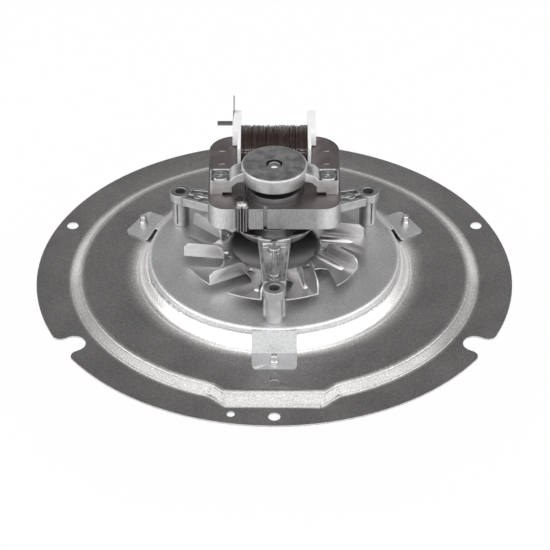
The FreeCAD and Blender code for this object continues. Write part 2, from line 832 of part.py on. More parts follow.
def build_lower_bracket():
    """The casting under the stator: a bowl for the bearing, three channel legs and three posts."""
    body = new_body("lower_bracket")
    wall = size("bowl_wall")
    cup_outer = size("cup_radius") + size("cup_wall")
    cup_under = cup_floor - size("cup_roof")
    cup_rim = lower_clip + size("clip_thick") + size("felt_gap")
    bowl = new_sketch(body, "XZ_Plane", "bowl_outline")
    add_polygon(bowl, [
        (0, cup_under), (cup_outer, cup_under), (cup_outer, bowl_floor),
        (size("bowl_foot_radius") - wall, bowl_floor), (size("bowl_foot_radius"), bowl_floor + wall),
        (size("bowl_rim_radius"), bowl_rim), (0, bowl_rim)])
    turn_about_vertical(body, "Revolution", "bowl_solid", bowl)
    ear_low = bowl_floor + wall
    web = new_sketch(body, "XY_Plane", "ear_web_outline", (0, 0, ear_low))
    half_web = size("ear_web_width") / 2
    add_rectangle(web, cup_outer, size("screw_offset"), -half_web, half_web)
    web_pad = extrude(body, "Pad", "ear_web", web, bowl_rim - ear_low)
    ear = new_sketch(body, "XY_Plane", "ear_outline", (0, 0, ear_low))
    add_circle(ear, size("ear_radius"), size("screw_offset"), 0)
    ear_pad = extrude(body, "Pad", "ear_post", ear, stack_bottom - ear_low)
    ear_bore = new_sketch(body, "XY_Plane", "ear_bore_outline", (0, 0, ear_low))
    add_circle(ear_bore, size("screw_radius") + size("thread_fit"), size("screw_offset"), 0)
    ear_cut = extrude(body, "Pocket", "ear_bore", ear_bore, stack_bottom - ear_low, reverse=True)
    mirrored(body, [web_pad, ear_pad, ear_cut], "ears")

    reach = leg_root_reach
    depth = size("leg_depth")
    half, top = leg_section(reach)
    tip_half, tip_top = leg_section(leg_tip_reach)
    leg = loft(
        body, "AdditiveLoft", "leg_beam",
        leg_sketch(body, "leg_root", reach, -half, half, top - depth, top),
        leg_sketch(body, "leg_tip", leg_tip_reach, -tip_half, tip_half, tip_top - depth, tip_top))
    steps = [leg]
    recess_start = size("bowl_rim_radius") + wall
    recess_end = leg_tip_reach - size("leg_overlap")
    rib = size("leg_rib") / 2
    recess = size("leg_recess")
    for side in (-1, 1):
        profiles = []
        for label, station in (("start", recess_start), ("end", recess_end)):
            half, top = leg_section(station)
            edges = sorted([side * rib, side * (half - size("leg_wall"))], key=lambda edge: edge.value)
            profiles.append(leg_sketch(
                body, f"recess_{label}_{side + 1}", station, *edges, top - recess, top + depth))
        steps.append(loft(body, "SubtractiveLoft", f"leg_recess_{side + 1}", *profiles))
    pads = (
        ("inner_pad", size("bowl_rim_radius") + size("inner_pad_gap"), size("inner_pad_radius")),
        ("outer_pad", post_circle - size("outer_pad_gap"), size("outer_pad_radius")))
    for label, station, pad_radius in pads:
        top = leg_section(station)[1]
        pad = new_sketch(body, "XY_Plane", f"{label}_outline", (0, 0, top - recess - rib))
        add_circle(pad, pad_radius, 0, -station)
        steps.append(extrude(body, "Pad", label, pad, recess + rib - size("leg_pad_drop")))
    circle = post_circle
    boss_low = post_top - size("post_boss_height")
    post = new_sketch(body, "XZ_Plane", "post_profile", (0, 0, circle))
    add_polygon(post, [
        (0, pan_top), (size("post_radius"), pan_top), (size("post_radius"), boss_low),
        (size("post_boss_radius"), boss_low), (size("post_boss_radius"), post_top), (0, post_top)])
    steps.append(turn_about_vertical(body, "Revolution", "post_turned", post))
    fin = new_sketch(body, "XZ_Plane", "post_fin_outline", (0, 0, circle))
    fin_half = size("post_fin_half")
    add_rectangle(fin, -fin_half, fin_half, pan_top + size("post_fin_clear"), boss_low)
    steps.append(extrude(body, "Pad", "post_fins", fin, size("post_fin_thick"), both_ways=True))
    bore = new_sketch(body, "XY_Plane", "post_bore_outline", (0, 0, pan_top))
    add_circle(bore, size("post_bore"), 0, -circle)
    steps.append(extrude(body, "Pocket", "post_bore_cut", bore, size("post_height"), reverse=True))
    around(body, steps, "legs", FASTENER_TURNS)
    inside = new_sketch(body, "XZ_Plane", "bowl_hollow")
    bowl_inner = size("bowl_rim_radius") - wall
    add_polygon(inside, [
        (0, cup_under), (size("cup_hole"), cup_under), (size("cup_hole"), cup_floor),
        (size("cup_radius"), cup_floor), (size("cup_radius"), cup_rim), (cup_outer, cup_rim),
        (cup_outer, bowl_floor + wall), (size("bowl_foot_radius") - wall, bowl_floor + wall),
        (bowl_inner, bowl_rim), (bowl_inner, stack_bottom), (0, stack_bottom)])
    turn_about_vertical(body, "Groove", "bowl_inside", inside)
    notch = new_sketch(body, "XY_Plane", "bowl_notch_outline", (0, 0, bowl_rim))
    notch_half = size("bowl_notch_width") / 2
    add_rectangle(notch, -notch_half, notch_half, -size("bowl_rim_radius"), wall - bowl_inner)
    extrude(body, "Pocket", "bowl_notch", notch, size("bowl_notch_depth"))
    return body


def build_stator_stack():
    """The laminated C-frame with its bore, coil window and shading slots."""
    body = new_body("stator_stack")
    half = size("stack_half_width")
    height = size("stack_height")
    front = size("stack_front")
    outline = new_sketch(body, "XY_Plane", "stack_outline", (0, 0, stack_bottom))
    add_rectangle(outline, -half, half, -front, size("stack_rear"))
    extrude(body, "Pad", "stack_block", outline, height)
    soften(body, "front_corners", size("stack_front_corner"), lambda e: is_upright(e) and e.BoundBox.YMax < 0)
    soften(body, "rear_corners", size("stack_rear_corner"),
           lambda e: is_upright(e) and e.BoundBox.YMax > size("stack_rear").value - 0.1)

    def pierce(name, draw):
        sketch = new_sketch(body, "XY_Plane", f"{name}_outline", (0, 0, stack_bottom))
        draw(sketch)
        return extrude(body, "Pocket", name, sketch, height, reverse=True)

    pierce("stator_bore", lambda s: add_circle(s, size("stator_bore")))
    fit = size("core_fit")
    window = size("window_half_width")
    rear = size("stack_rear") + size("tongue_length")
    right = [(window, size("window_front"))] + tongue_points(window, fit) + [(window, rear)]
    left = [(-x, y) for x, y in reversed(right)]
    pierce("coil_window", lambda s: add_polygon(s, right + left))
    for side in (-1, 1):
        pierce(f"screw_hole_{side + 1}", lambda s: add_circle(
            s, size("screw_radius") + size("screw_fit"), side * size("screw_offset"), 0))
    middle = size("bridge_slot_offset")
    slot_half = size("bridge_slot_width") / 2
    thin = pierce("bridge_slot", lambda s: add_rectangle(
        s, -(middle + slot_half), -(middle - slot_half), -front, -(front - size("bridge_slot_depth"))))
    ring_half = size("ring_width") / 2 + size("ring_fit")
    ring_middle = size("ring_middle")
    margin = size("ring_inset")
    thick = size("ring_thick")
    notch_depth = margin * 2 + thick
    notch = pierce("ring_notch", lambda s: add_rectangle(
        s, -(ring_middle + ring_half), -(ring_middle - ring_half), -front, -(front - notch_depth)))
    slot_far = front - margin - thick - size("ring_span") + margin
    slot_near = slot_far - thick - margin * 2
    slot = pierce("ring_slot", lambda s: add_rectangle(
        s, -(ring_middle + ring_half), -(ring_middle - ring_half), -slot_far, -slot_near))
    around(body, [thin, notch, slot], "pole_cuts", 2)
    locks = new_sketch(body, "XY_Plane", "interlock_outline", (0, 0, stack_top))
    lock_half = size("interlock_length") / 2
    lock_side = size("interlock_width") / 2
    for side in (-1, 1):
        across = side * size("interlock_offset")
        for along in (size("interlock_front"), size("interlock_rear")):
            add_rectangle(locks, across - lock_half, across + lock_half, along - lock_side, along + lock_side)
    extrude(body, "Pocket", "interlocks", locks, size("interlock_depth"))
    return body


def tongue_points(edge, fit):
    """The dovetail at one end of the coil core, as seen from above."""
    narrow = size("tongue_root_half") + fit
    wide = size("tongue_tip_half") + fit
    out = size("window_half_width") + size("tongue_length") + fit
    return [(edge, core_middle - narrow), (out, core_middle - wide), (out, core_middle + wide),
            (edge, core_middle + narrow)]


def build_coil_core():
    """The laminated bar that carries the coil and locks into both limbs."""
    body = new_body("coil_core")
    edge = size("window_half_width") - size("core_fit")
    fit = as_size(0)
    right = [(edge, size("core_front"))] + tongue_points(edge, fit) + [(edge, size("stack_rear"))]
    left = [(-x, y) for x, y in reversed(right)]
    outline = new_sketch(body, "XY_Plane", "core_outline", (0, 0, stack_bottom))
    add_polygon(outline, right + left)
    extrude(body, "Pad", "core_bar", outline, size("stack_height"))
    return body


def build_shading_ring(name, side):
    """Two copper strands side by side round one shaded pole, their ends joined by a weld on top."""
    body = new_body(name)
    far = size("stack_front") - size("ring_inset")
    thick = size("ring_thick")
    near = far - thick * 2 - size("ring_span")
    start = side * size("ring_middle") - size("ring_width") / 2
    sketch = new_sketch(body, "YZ_Plane", f"{name}_outline", (0, 0, start))
    outer = sorted([side * far, side * near], key=lambda edge: edge.value)
    inner = sorted([side * (far - thick), side * (near + thick)], key=lambda edge: edge.value)
    add_rectangle(sketch, outer[0], outer[1], stack_bottom - thick, stack_top + thick)
    add_rectangle(sketch, inner[0], inner[1], stack_bottom, stack_top)
    extrude(body, "Pad", f"{name}_strip", sketch, size("ring_width"))
    middle = side * size("ring_middle")
    deep = size("strand_groove")
    gap = new_sketch(body, "YZ_Plane", f"{name}_gap_outline", (0, 0, middle))
    low = stack_bottom - thick
    high = stack_top + thick
    add_rectangle(gap, outer[0], outer[1], low, high)
    add_rectangle(gap, outer[0] + deep, outer[1] - deep, low + deep, high - deep)
    extrude(body, "Pocket", f"{name}_gap", gap, size("strand_gap"), both_ways=True)
    weld = body.newObject("PartDesign::AdditiveEllipsoid", f"{name}_weld")
    bind(weld, "Radius1", size("weld_rise"))
    bind(weld, "Radius2", size("weld_width") / 2)
    bind(weld, "Radius3", size("weld_length") / 2)
    place(weld, middle, side * (far - size("weld_length") / 2), high)
    return body


def core_rectangle(sketch, margin):
    """A rectangle round the coil core, seen along X."""
    half_depth = (size("stack_rear") - size("core_front")) / 2 + margin
    half_height = size("stack_height") / 2 + margin
    add_rectangle(sketch, core_middle - half_depth, core_middle + half_depth,
                  coil_height - half_height, coil_height + half_height)


def build_bobbin():
    """The moulded bobbin with two flanges and a terminal block on each."""
    body = new_body("bobbin")
    inner = size("winding_half_length")
    fit = size("tube_fit")
    sleeve = new_sketch(body, "YZ_Plane", "tube_outline")
    core_rectangle(sleeve, fit + size("tube_wall"))
    extrude(body, "Pad", "bobbin_tube", sleeve, inner * 2, both_ways=True)
    flange = new_sketch(body, "YZ_Plane", "flange_outline", (0, 0, inner))
    half = size("flange_half_height")
    flange_top = coil_height + half
    add_rectangle(flange, size("flange_front"), size("flange_rear"), coil_height - half, flange_top)
    flange_pad = extrude(body, "Pad", "flange", flange, size("flange_thick"))
    outer = inner + size("flange_thick")
    block = new_sketch(body, "YZ_Plane", "block_outline", (0, 0, outer))
    block_low = stack_top + size("block_bottom_gap")
    add_rectangle(block, size("block_front"), size("flange_rear"), block_low, flange_top)
    block_pad = extrude(body, "Pad", "terminal_block", block, size("block_thick"))
    mirrored(body, [flange_pad, block_pad], "bobbin_ends")
    rear = size("flange_rear").value
    front = size("flange_front").value

    def is_end_corner(edge):
        box = edge.BoundBox
        along = box.YLength < 0.001 and box.ZLength < 0.001
        return along and (abs(box.YMin - rear) < 0.01 or abs(box.YMin - front) < 0.01)

    soften(body, "flange_corners", size("flange_corner"), is_end_corner)
    hole = new_sketch(body, "YZ_Plane", "core_hole_outline")
    core_rectangle(hole, fit)
    extrude(body, "Pocket", "core_hole", hole, outer * 4, both_ways=True)
    block_end = outer + size("block_thick")
    side_slot = new_sketch(body, "YZ_Plane", "side_slot_outline", (0, 0, -block_end))
    side_terminal_outline(side_slot)
    extrude(body, "Pocket", "side_slot", side_slot, size("block_thick"), reverse=True)
    slot_floor = flange_top - size("top_terminal_root")
    top_slot = new_sketch(body, "XY_Plane", "top_slot_outline", (0, 0, slot_floor))
    top_terminal_outline(top_slot)
    extrude(body, "Pocket", "top_slot", top_slot, size("top_terminal_root"), reverse=True)
    return body


def side_terminal_outline(sketch):
    """The flat blade seen end on."""
    half = size("side_terminal_width") / 2
    middle = size("side_terminal_middle")
    height = coil_height + size("flange_half_height") - size("side_terminal_drop")
    half_thick = size("side_terminal_thick") / 2
    add_rectangle(sketch, middle - half, middle + half, height - half_thick, height + half_thick)


def top_terminal_outline(sketch):
    """The thin upright tab seen from above."""
    half = size("top_terminal_width") / 2
    middle = size("top_terminal_middle")
    offset = -size("top_terminal_offset")
    half_thick = size("top_terminal_thick") / 2
    add_rectangle(sketch, offset - half_thick, offset + half_thick, middle - half, middle + half)


def build_side_terminal():
    """The blade that stands out of the left block."""
    body = new_body("side_terminal")
    reach = size("side_terminal_reach")
    sketch = new_sketch(body, "YZ_Plane", "side_blade_outline", (0, 0, -reach))
    side_terminal_outline(sketch)
    root_end = size("winding_half_length") + size("flange_thick")
    extrude(body, "Pad", "side_blade", sketch, reach - root_end)
    return body


def build_top_terminal():
    """The thin tab that stands up out of the left block."""
    body = new_body("top_terminal")
    low = coil_height + size("flange_half_height") - size("top_terminal_root")
    sketch = new_sketch(body, "XY_Plane", "top_blade_outline", (0, 0, low))
    top_terminal_outline(sketch)
    extrude(body, "Pad", "top_blade", sketch, size("top_terminal_root") + size("top_terminal_rise"))
    return body


def build_coil_winding():
    """The wire wound on the bobbin, as one oval block."""
    half_length = size("winding_half_length") - size("winding_fit")
    oval = doc.addObject("Part::Ellipse", "winding_oval")
    bind(oval, "MajorRadius", size("winding_half_depth"))
    bind(oval, "MinorRadius", size("winding_half_height"))
    oval.Placement = Placement(Vector(-half_length.value, core_middle.value, coil_height.value),
                               Rotation(Vector(1, 1, 1), 120))
    for axis_name, step in zip("xyz", (-half_length, core_middle, coil_height)):
        oval.setExpression(f"Placement.Base.{axis_name}", step.formula)
    block = doc.addObject("Part::Extrusion", "winding_block")
    block.Base = oval
    block.DirMode = "Custom"
    block.Dir = Vector(1, 0, 0)
    bind(block, "LengthFwd", half_length * 2)
    block.Solid = True
    margin = size("tube_fit") + size("tube_wall") + size("winding_fit")
    half_depth = (size("stack_rear") - size("core_front")) / 2 + margin
    half_height = size("stack_height") / 2 + margin
    hole = doc.addObject("Part::Box", "winding_hole")
    bind(hole, "Length", half_length * 2)
    bind(hole, "Width", half_depth * 2)
    bind(hole, "Height", half_height * 2)
    place(hole, -half_length, core_middle - half_depth, coil_height - half_height)
    return cut("coil_winding", block, hole)


def build_upper_bridge():
    """The casting over the rotor: a bearing cap on two arms that stand on the stack."""
    body = new_body("upper_bridge")
    crown = size("cup_radius") - size("cup_wall")
    shoulder = size("arm_shoulder")
    thick = size("arm_thick")
    inner = size("foot_inner")
    outer = size("foot_outer")
    arms = new_sketch(body, "XZ_Plane", "arm_outline")
    add_polygon(arms, [
        (crown, arm_top - thick), (shoulder - thick / 2, foot_top - thick / 3), (inner, foot_top - thick),
        (inner, stack_top), (outer, stack_top), (outer, foot_top), (inner + thick / 3, foot_top),
        (shoulder, foot_top + size("arm_crown") / 2), (size("cap_radius"), arm_top), (crown, arm_top)])
    arm = extrude(body, "Pad", "arm", arms, size("arm_width"), both_ways=True)
    pocket = new_sketch(body, "XY_Plane", "screw_pocket_outline", (0, 0, foot_top))
    pocket_half = size("arm_width") / 2 - size("foot_wall")
    pocket_end = outer - size("foot_wall")
    pocket_start = size("screw_offset") * 2 - pocket_end
    pocket_floor = foot_top - size("screw_pocket_depth")
    add_rectangle(pocket, pocket_start, pocket_end, -pocket_half, pocket_half)
    pocket_cut = extrude(body, "Pocket", "screw_pocket", pocket, size("screw_pocket_depth"))
    relief = new_sketch(body, "XY_Plane", "foot_relief_outline", (0, 0, stack_top))
    add_rectangle(relief, inner, size("foot_pad_start"), -size("arm_width"), size("arm_width"))
    relief_cut = extrude(body, "Pocket", "foot_relief", relief, size("foot_relief"), reverse=True)
    hole = new_sketch(body, "XY_Plane", "foot_hole_outline", (0, 0, stack_top))
    add_circle(hole, size("screw_radius") + size("screw_fit"), size("screw_offset"), 0)
    hole_cut = extrude(body, "Pocket", "foot_hole", hole, size("foot_height"), reverse=True)
    mirrored(body, [arm, pocket_cut, relief_cut, hole_cut], "arms")
    near = 0.01
    soften(body, "foot_corners", size("foot_corner"),
           lambda e: is_upright(e) and abs(abs(e.BoundBox.XMin) - outer.value) < near)
    soften(body, "pocket_corners", size("screw_pocket_corner"),
           lambda e: is_upright(e) and abs(abs(e.BoundBox.YMin) - pocket_half.value) < near
           and e.BoundBox.ZMin > (pocket_floor - near).value)
    cup_outer = size("cup_radius") + size("cup_wall")
    cup_rim = upper_clip - size("felt_gap")
    cap = new_sketch(body, "XZ_Plane", "cap_profile")
    add_polygon(cap, [
        (0, cup_rim), (cup_outer, cup_rim), (cup_outer, cap_bottom), (size("cap_radius"), cap_bottom),
        (size("cap_radius"), cap_top), (0, cap_top)])
    turn_about_vertical(body, "Revolution", "cap", cap)
    soften(body, "cap_edge", size("cap_edge"), lambda e: is_ring(e, size("cap_radius").value, cap_top.value))
    inside = new_sketch(body, "XZ_Plane", "cup_hollow")
    add_polygon(inside, [
        (0, cup_rim), (size("cup_radius"), cup_rim), (size("cup_radius"), cup_ceiling),
        (size("cup_hole"), cup_ceiling), (size("cup_hole"), cap_top), (0, cap_top)])
    turn_about_vertical(body, "Groove", "cup_inside", inside)
    return body


def build_bridge_screws():
    """Two long screws that clamp bridge, stack and bracket together."""
    seat = foot_top - size("screw_pocket_depth")
    head = size("screw_head_radius")
    shank = size("screw_radius")
    top = seat + size("screw_head_height")
    edge = size("screw_head_height") / 3
    end = bowl_floor + size("bowl_wall") + edge
    body = turned_piece("bridge_screws", [
        (0, end), (shank - edge / 2, end), (shank, end + edge), (shank, seat), (head, seat),
        (head, top - edge), (head - edge, top), (0, top)], side=size("screw_offset"))
    arm = size("recess_width") / 2
    reach = size("recess_reach")
    recess = new_sketch(body, "XY_Plane", "cross_recess", (size("screw_offset"), 0, top))
    add_polygon(recess, [
        (reach, -arm), (reach, arm), (arm, arm), (arm, reach), (-arm, reach), (-arm, arm),
        (-reach, arm), (-reach, -arm), (-arm, -arm), (-arm, -reach), (arm, -reach), (arm, -arm)])
    cross = extrude(body, "Pocket", "recess_cut", recess, size("recess_depth"))
    around(body, [body.Group[1], cross], "screw_pair", 2)
    return body


def build_bush(name, middle):
    """A ball-shaped sintered bearing, flat at both ends."""
    ball = doc.addObject("Part::Sphere", f"{name}_ball")
    bind(ball, "Radius", size("bush_sphere"))
    place(ball, 0, 0, middle)
    slab = cylinder(f"{name}_slab", size("bush_sphere") * 2, size("bush_length"), middle - bush_half)
    trimmed = doc.addObject("Part::Common", f"{name}_trimmed")
    trimmed.Base = ball
    trimmed.Tool = slab
    bore_radius = size("shaft_radius") + size("bush_fit")
    bore = cylinder(f"{name}_bore", bore_radius, size("bush_length"), middle - bush_half)
    return cut(name, trimmed, bore)


def build_felt(name, low, high):
    """The oil felt round a bearing."""
    gap = size("felt_gap")
    inner = size("bush_sphere") + gap
    return tube(name, size("cup_radius"), inner, high - low, low)


def build_retainer(name, low):
    """The pressed-in spring plate that holds a bearing in its cup."""
    body = new_body(name)
    sketch = new_sketch(body, "XY_Plane", f"{name}_outline", (0, 0, low))
    add_circle(sketch, size("cup_radius"))
    add_circle(sketch, size("clip_bore"))
    extrude(body, "Pad", f"{name}_plate", sketch, size("clip_thick"))
    slot = new_sketch(body, "XY_Plane", f"{name}_slot_outline", (0, 0, low))
    half = size("clip_slot_width") / 2
    add_rectangle(slot, size("shaft_radius"), size("clip_bore") + size("clip_slot_length"), -half, half)
    slot_cut = extrude(body, "Pocket", f"{name}_slot", slot, size("clip_thick"), reverse=True)
    around(body, [slot_cut], f"{name}_slots", FASTENER_TURNS * 2)
    return body


def build_shaft():
    """The rotor shaft, stepped down, flatted and threaded at its lower end."""
    radius = size("shaft_radius")
    drive = size("drive_radius")
    thread = size("thread_radius")
    end = -size("shaft_reach")
    step = end + size("thread_length")
    chamfer = size("shaft_chamfer")
    body = turned_piece("shaft", [
        (0, end), (thread - chamfer, end), (thread, end + chamfer), (thread, step), (drive, step),
        (drive, size("drive_shoulder")), (radius, size("drive_shoulder")),
        (radius, shaft_top - chamfer), (radius - chamfer, shaft_top), (0, shaft_top)])
    flat = new_sketch(body, "XY_Plane", "drive_flat_outline", (0, 0, step))
    add_rectangle(flat, -drive, drive, -radius, -(drive - size("drive_flat")))
    extrude(body, "Pocket", "drive_flat", flat, size("drive_flat_length"), reverse=True)
    return body


def build_rotor_core():
    """The laminated rotor with its bar slots."""
    body = new_body("rotor_core")
    radius = size("stator_bore") - size("air_gap")
    outline = new_sketch(body, "XY_Plane", "rotor_outline", (0, 0, stack_bottom))
    add_circle(outline, radius)
    add_circle(outline, size("shaft_radius"))
    extrude(body, "Pad", "rotor_block", outline, size("stack_height"))
    slot = new_sketch(body, "XY_Plane", "bar_slot_outline", (0, 0, stack_bottom))
    bar_circle = radius - size("bar_cover") - size("bar_inset") - size("bar_radius")
    add_circle(slot, size("bar_radius"), bar_circle, 0)
    slot_cut = extrude(body, "Pocket", "bar_slot", slot, size("stack_height"), reverse=True)
    around(body, [slot_cut], "bar_slots", size("bar_count"))
    return body


def build_rotor_cage():
    """The cast cage: two end rings joined by bars."""
    body = new_body("rotor_cage")
    radius = size("stator_bore") - size("air_gap") - size("bar_cover")
    low = new_sketch(body, "XY_Plane", "low_ring_outline", (0, 0, ring_bottom))
    add_circle(low, radius)
    add_circle(low, size("end_ring_bore"))
    extrude(body, "Pad", "low_ring", low, size("end_ring_height"))
    bar = new_sketch(body, "XY_Plane", "bar_outline", (0, 0, stack_bottom))
    add_circle(bar, size("bar_radius"), radius - size("bar_inset") - size("bar_radius"), 0)
    bar_pad = extrude(body, "Pad", "bar", bar, size("stack_height"))
    around(body, [bar_pad], "bars", size("bar_count"))
    high = new_sketch(body, "XY_Plane", "high_ring_outline", (0, 0, stack_top))
    add_circle(high, radius)
    add_circle(high, size("end_ring_bore"))
    extrude(body, "Pad", "high_ring", high, size("end_ring_height"))
    return body


def build_thrust_washers():
    """Two washers at each end of the rotor, which take up its end play."""
    half = washer_stack / 2
    levels = {
        "lower_outer_washer": ring_bottom - washer_stack,
        "lower_inner_washer": ring_bottom - half,
        "upper_inner_washer": ring_top,
        "upper_outer_washer": ring_top + half,
    }
    rings = []
    for name, low in levels.items():
        rings.append(tube(name, size("washer_radius"), size("shaft_radius"), half, low))
    group = doc.addObject("Part::Compound", "thrust_washers")
    group.Links = rings
    group.Label = "thrust_washers"
    return group


def build_cooling_fan():
    """The sheet fan: ten blades, each with an upright flap and a pressed bead."""
    body = new_body("cooling_fan")
    thick = size("fan_thick")
    lead = size("blade_lead")
    outer = size("fan_radius")
    inner = size("flap_root_radius")
    turn = size("flap_root_turn")
    pitch = as_size(360) / size("blade_count")
    centre = new_sketch(body, "XY_Plane", "fan_centre_outline", (0, 0, fan_under))
    add_circle(centre, inner * cosine(pitch / 2))
    add_circle(centre, size("hub_radius"))
    extrude(body, "Pad", "fan_centre", centre, thick)

    blade = new_sketch(body, "XY_Plane", "blade_outline", (0, 0, fan_under), turn=lead)
    sweep = size("blade_sweep")
    near_hub = size("fan_ridge_radius") - size("fan_ridge_half")
    corners = [
        polar_point(outer, -sweep), polar_point(size("blade_waist_radius"), -size("blade_waist_turn")),
        polar_point(size("blade_heel_radius"), -size("blade_heel_turn")), polar_point(inner, turn - pitch),
        polar_point(near_hub, turn - pitch), polar_point(near_hub, turn), polar_point(inner, turn),
        (outer, as_size(0))]
    spots = [Vector(x.value, y.value, 0) for x, y in corners]
    lines = [blade.addGeometry(Part.LineSegment(a, b)) for a, b in zip(spots, spots[1:])]
    circle = Part.Circle(Vector(0, 0, 0), Vector(0, 0, 1), outer.value)
    tip = blade.addGeometry(Part.ArcOfCircle(circle, -math.radians(sweep.value), 0))
    blade.addConstraint(Sketcher.Constraint("Coincident", tip, 3, -1, 1))
    for line, after in zip(lines, lines[1:]):
        blade.addConstraint(Sketcher.Constraint("Coincident", line, 2, after, 1))
    blade.addConstraint(Sketcher.Constraint("Coincident", tip, 1, lines[0], 1))
    blade.addConstraint(Sketcher.Constraint("Coincident", tip, 2, lines[-1], 2))
    for line, (x, y) in zip(lines, corners):
        hold_point(blade, line, 1, x, y)
    hold(blade, "DistanceY", -1, 1, lines[-1], 2, number=0)
    blade_pad = extrude(body, "Pad", "blade", blade, thick)

    root_x, root_y = polar_point(inner, turn)
    run_x = root_x - outer
    length = root(run_x * run_x + root_y * root_y)
    bearing = math.degrees(math.atan2(root_y.value, run_x.value)) + lead.value
    tip_x, tip_y = polar_point(outer, lead)
    flap = new_sketch(body, "XZ_Plane", "flap_outline", (tip_x, fan_under, -tip_y), turn=bearing)
    height = size("flap_height") + thick
    clip = size("flap_chamfer")
    round_end = size("flap_height") / 2
    third = round_end / 3
    add_polygon(flap, [
        (0, 0), (length, 0), (length, height - round_end), (length - third, height - third),
        (length - round_end, height), (clip, height), (0, height - clip)])
    flap_pad = extrude(body, "Pad", "flap", flap, thick, reverse=True)

    offset = size("bead_offset")
    aside_x = -offset * sine(bearing)
    aside_y = offset * cosine(bearing)
    shift = (tip_x + aside_x, fan_under, -(tip_y + aside_y))
    steps = [blade_pad, flap_pad]
    for kind, name, radius in (("Revolution", "bead", size("bead_height") + thick),
                               ("Groove", "bead_hollow", size("bead_height"))):
        profile = new_sketch(body, "XZ_Plane", f"{name}_outline", shift, turn=bearing)
        start = size("bead_start") + size("bead_height") + thick
        end = length + size("bead_overrun")
        add_polygon(profile, [
            (start - radius, 0), (end, 0), (end, radius), (start, radius),
            (start - radius * sine(45), radius * cosine(45))])
        bead = feature(body, kind, name, profile)
        bead.ReferenceAxis = (profile, ["H_Axis"])
        bead.Midplane = True
        bead.Angle = 180
        doc.recompute()
        steps.append(bead)
    relief = new_sketch(body, "XY_Plane", "relief_outline", (0, 0, fan_under), turn=lead)
    hole_x, hole_y = polar_point(size("relief_circle"), size("relief_turn"))
    add_circle(relief, size("relief_radius"), hole_x, hole_y)
    steps.append(extrude(body, "Pocket", "relief", relief, thick, reverse=True))
    around(body, steps, "blades", size("blade_count"))
    middle = size("fan_ridge_radius")
    half = size("fan_ridge_half")
    rise = size("fan_ridge_height")
    ridge = new_sketch(body, "XZ_Plane", "ridge_outline")
    add_polygon(ridge, [
        (middle - half, size("fan_plane")), (middle + half, size("fan_plane")),
        (middle + half / 2, size("fan_plane") + rise), (middle - half / 2, size("fan_plane") + rise)])
    turn_about_vertical(body, "Revolution", "hub_ridge", ridge)
    return body


def build_fan_hub():
    """The turned hub pressed on the shaft and staked over the fan's sheet."""
    flange_low = fan_under - size("hub_flange_thick")
    hub = size("hub_radius")
    top = flange_low + size("hub_height")
    lip = size("fan_thick")
    bore = size("shaft_radius")
    flange = size("hub_flange_radius")
    return turned_piece("fan_hub", [
        (bore, flange_low), (flange, flange_low), (flange, fan_under), (hub, fan_under),
        (hub, size("fan_plane")), (hub + lip, size("fan_plane")), (hub, size("fan_plane") + lip),
        (hub - lip, top), (bore, top)])


def build_all():
    """Build every piece and return them by node name."""
    return [
        build_main_plate(),
        build_motor_pan(),
        build_pan_rivets(),
        build_post_screws(),
        build_lower_bracket(),
        build_stator_stack(),
        build_coil_core(),
        build_shading_ring("shading_ring_front", -1),
        build_shading_ring("shading_ring_rear", 1),
        build_bobbin(),
        build_coil_winding(),
        build_side_terminal(),
        build_top_terminal(),
        build_upper_bridge(),
        build_bridge_screws(),
        build_bush("upper_bearing", upper_bush),
        build_bush("lower_bearing", lower_bush),
        build_felt("upper_felt", upper_clip + size("clip_thick"), cup_ceiling),
        build_felt("lower_felt", cup_floor, lower_clip),
        build_retainer("upper_retainer", upper_clip),
        build_retainer("lower_retainer", lower_clip),
        build_shaft(),
        build_rotor_core(),
        build_rotor_cage(),
        build_thrust_washers(),
        build_cooling_fan(),
        build_fan_hub(),
    ]


pieces = build_all()
doc.recompute()
for item in doc.Objects:
    if "Invalid" in item.State or "Error" in item.State:
        raise ValueError(f"{item.Name} failed: {item.State}")
for piece in pieces:
    if piece.Shape.isNull() or not piece.Shape.isValid():
        raise ValueError(f"{piece.Label} has no valid shape")
for piece in pieces:
    piece.Shape.exportStep(f"parts/{piece.Label}.step")
    print(piece.Label, len(piece.Shape.Solids), round(piece.Shape.Volume, 1))
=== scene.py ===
import math
import random

import bmesh
import bpy
from mathutils import Matrix, Vector


